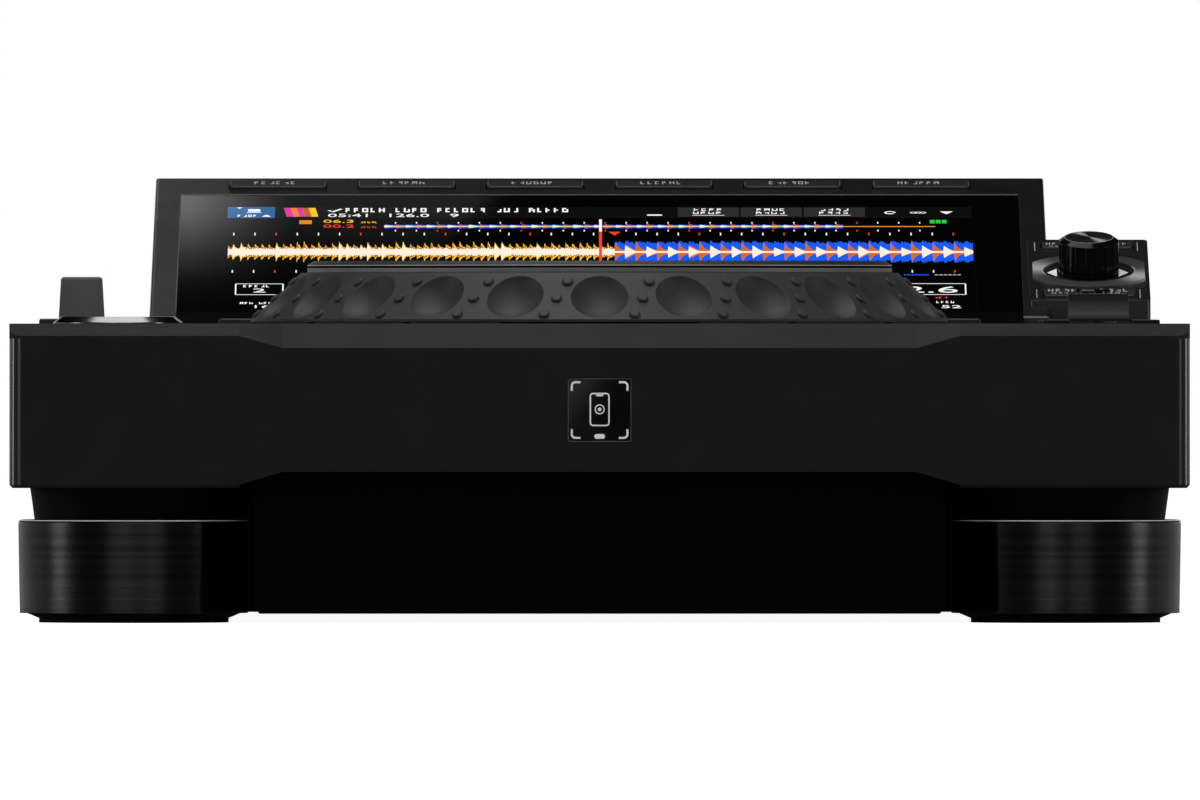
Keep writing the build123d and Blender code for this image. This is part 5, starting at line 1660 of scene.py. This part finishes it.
@dataclass
class Studio:
    """Floor, world, lamps and camera, in metres and watts."""

    floor_half: float = 9.0
    lens: float = 1100.0
    distance: float = 10.2135
    eye_x: float = 0.0001
    eye_height: float = 0.0835
    aim_height: float = 0.0622
    floor_glow: float = 0.93
    floor_gloss: float = 0.05
    overhead_gloss: float = 0.002
    front_gloss: float = 0.01
    soft_light: float = 0.22

    def build(self) -> None:
        """Makes the floor, the world, the lamps and the camera."""
        self.floor()
        self.world()
        self.lamps()
        self.screen_lights()
        self.front_window()
        self.camera()

    def floor(self) -> None:
        """Lays the pale floor, which shows white with the object's shadow on it."""
        half = self.floor_half
        mesh = bpy.data.meshes.new("floor")
        corners = [(-half, -half, 0.0), (half, -half, 0.0), (half, half, 0.0), (-half, half, 0.0)]
        mesh.from_pydata(corners, [], [(0, 1, 2, 3)])
        ground = link("floor", mesh)
        paint = bpy.data.materials.new("floor_white")
        paint.use_nodes = True
        g = Graph(paint.node_tree)
        seen = g.add("ShaderNodeLightPath").outputs
        marks = Effect.place(g, "grain", Vector=g.coordinates(), Size=4.0)
        pale = g.blend(marks["Patch"], (0.44, 0.44, 0.44), (0.46, 0.46, 0.46))
        colour = g.blend(seen["Is Glossy Ray"], pale, (0.04, 0.04, 0.04))
        matt = g.add("ShaderNodeBsdfDiffuse", {"Color": colour})
        direct = g.math("MAXIMUM", seen["Is Camera Ray"], seen["Is Transmission Ray"])
        direct = g.math("MAXIMUM", direct, g.math("MULTIPLY", seen["Is Glossy Ray"], self.floor_gloss))
        glow = g.add("ShaderNodeEmission", {"Strength": g.math("MULTIPLY", direct, self.floor_glow)})
        both = g.add("ShaderNodeAddShader", {0: matt.outputs[0], 1: glow.outputs[0]})
        g.add("ShaderNodeOutputMaterial", {"Surface": both.outputs[0]})
        ground.data.materials.append(paint)

    def world(self) -> None:
        """Soft surroundings: white where they are looked at, darker overhead in reflections."""
        world = bpy.data.worlds.new("studio")
        bpy.context.scene.world = world
        world.use_nodes = True
        g = Graph(world.node_tree)
        seen = g.add("ShaderNodeLightPath").outputs
        _, depth, height = g.split(g.coordinates("Generated"))
        low = g.spread(height, 0.1, 0.22, 1.0, self.overhead_gloss)
        behind = g.spread(depth, -0.1, 0.3, self.front_gloss, 1.0)
        backdrop = g.math("MAXIMUM", g.math("MULTIPLY", low, behind), self.overhead_gloss)
        mirrored = g.math("MAXIMUM", seen["Is Glossy Ray"], seen["Is Transmission Ray"])
        strength = g.math("MAXIMUM", g.math("MULTIPLY", mirrored, backdrop), seen["Is Camera Ray"])
        strength = g.math("MAXIMUM", strength, g.math("MULTIPLY", seen["Is Diffuse Ray"], self.soft_light))
        light = g.add("ShaderNodeBackground", {"Color": (1.0, 1.0, 1.0), "Strength": strength})
        g.add("ShaderNodeOutputWorld", {"Surface": light.outputs[0]})

    def lamp(self, name: str, place: Place, aim: Place, size: Point, watts: float) -> None:
        """Hangs a soft rectangular lamp.

        Args:
            name: name of the lamp.
            place: where it hangs, in metres.
            aim: the point it faces, in metres.
            size: its width and height, in metres.
            watts: its power.
        """
        data = bpy.data.lights.new(name, "AREA")
        data.shape = "RECTANGLE"
        data.size, data.size_y = size
        data.energy = watts
        lamp = link(name, data)
        lamp.visible_camera = False
        lamp.location = place
        lamp.rotation_euler = (Vector(aim) - Vector(place)).to_track_quat("-Z", "Y").to_euler()

    def lamps(self) -> None:
        """Hangs the lamps: overhead, in front, and a strip and a lamp at each side."""
        self.lamp("overhead", (-0.1, -0.05, 1.1), (0.0, -0.05, 0.0), (1.1, 0.7), 8.2)
        self.lamp("front_fill", (0.1, -0.95, 1.35), (0.0, -0.2, 0.05), (1.2, 0.6), 5.4)
        for side, word in SIDES:
            self.lamp(word + "_strip", (side * 1.31, -0.42, 0.3), (side * 0.13, -0.19, 0.02), (0.34, 0.66), 3.6)
            self.lamp(word + "_front", (side * 0.75, -2.6, 0.35), (side * 0.1, -0.22, 0.03), (0.9, 0.7), 2.3)

    def screen_lights(self) -> None:
        """Hangs the lamp that the display's glass mirrors and the one by its hood's left corner."""
        screen = LAYOUT.screen()
        normal = (screen.to_3x3() @ Vector((0.0, 0.0, 1.0))).normalized()
        ray = Vector((0.0, 1.0, 0.0)).reflect(normal)
        up = ray.cross(Vector((1.0, 0.0, 0.0)))
        window = Window(
            side=0.3, edge=(-37.8, -15.6), slant=(0.737, -0.677), far=12.0, near=-16.0, radiance=0.05,
            glow=Fade(start=-95.0, end=-128.0, gain=10.0),
        )
        middle = (screen @ Vector((0.0, 85.0, 0.0))) * MM
        window.hang("screen_window", middle + ray * 0.95, ray, -up if up.z < 0 else up)
        corner = (screen @ Vector((-178.0, 185.0, 0.0))) * MM
        self.lamp("hood_glow", tuple(corner + ray * 0.15), tuple(corner), (0.06, 0.04), 0.004)

    def front_window(self) -> None:
        """Hangs the lamp that the touch window mirrors, with its slanted edge."""
        middle = Vector((0.0, LAYOUT.front * MM - 1.2, 0.0594))
        window = Window(
            side=0.3, edge=(-6.0, -0.4), slant=(0.409, 0.913), far=-27.0, near=6.0, radiance=1.35, upright=True
        )
        window.hang("front_window", middle, Vector((0.0, -1.0, 0.0)), Vector((0.0, 0.0, 1.0)))

    def camera(self) -> None:
        """Sets the very long lens that looks level at the front."""
        data = bpy.data.cameras.new("camera")
        data.sensor_width = 36.0
        data.lens = self.lens
        data.clip_start = 0.5
        data.clip_end = 400.0
        camera = link("camera", data)
        front = Vector((self.eye_x, LAYOUT.front * MM, self.aim_height))
        camera.location = (self.eye_x, front.y - self.distance, self.eye_height)
        camera.rotation_euler = (front - camera.location).to_track_quat("-Z", "Y").to_euler()
        bpy.context.scene.camera = camera


def dress_nodes(frame: dict[str, Any]) -> None:
    """Gives every carried-over solid the finish of its slot, or its own."""
    slots = {part["node"]: part["material_slot"] for part in frame["record"]["subparts"]}
    for name, piece in frame["nodes"].items():
        finish = FINISHES[OWN_FINISH.get(name, slots[name])]
        piece.data.materials.clear()
        piece.data.materials.append(finish.material())
        LOG.info("dressed %s in %s", name, finish.name)


def main() -> None:
    """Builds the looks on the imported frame, sub-assembly by sub-assembly."""
    logging.basicConfig(level=logging.INFO, format="%(name)s: %(message)s")
    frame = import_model()
    scene = bpy.context.scene
    scene.view_settings.view_transform = "Standard"
    make_effects()
    Studio().build()
    dress_nodes(frame)
    row, ring = row_pattern(), ring_pattern()
    Display().build(row)
    TouchWindow().build()
    JogWheel().build(ring)
    Legends().build(row, ring)
    Hardware().build()
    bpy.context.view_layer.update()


if __name__ == "__main__":
    main()
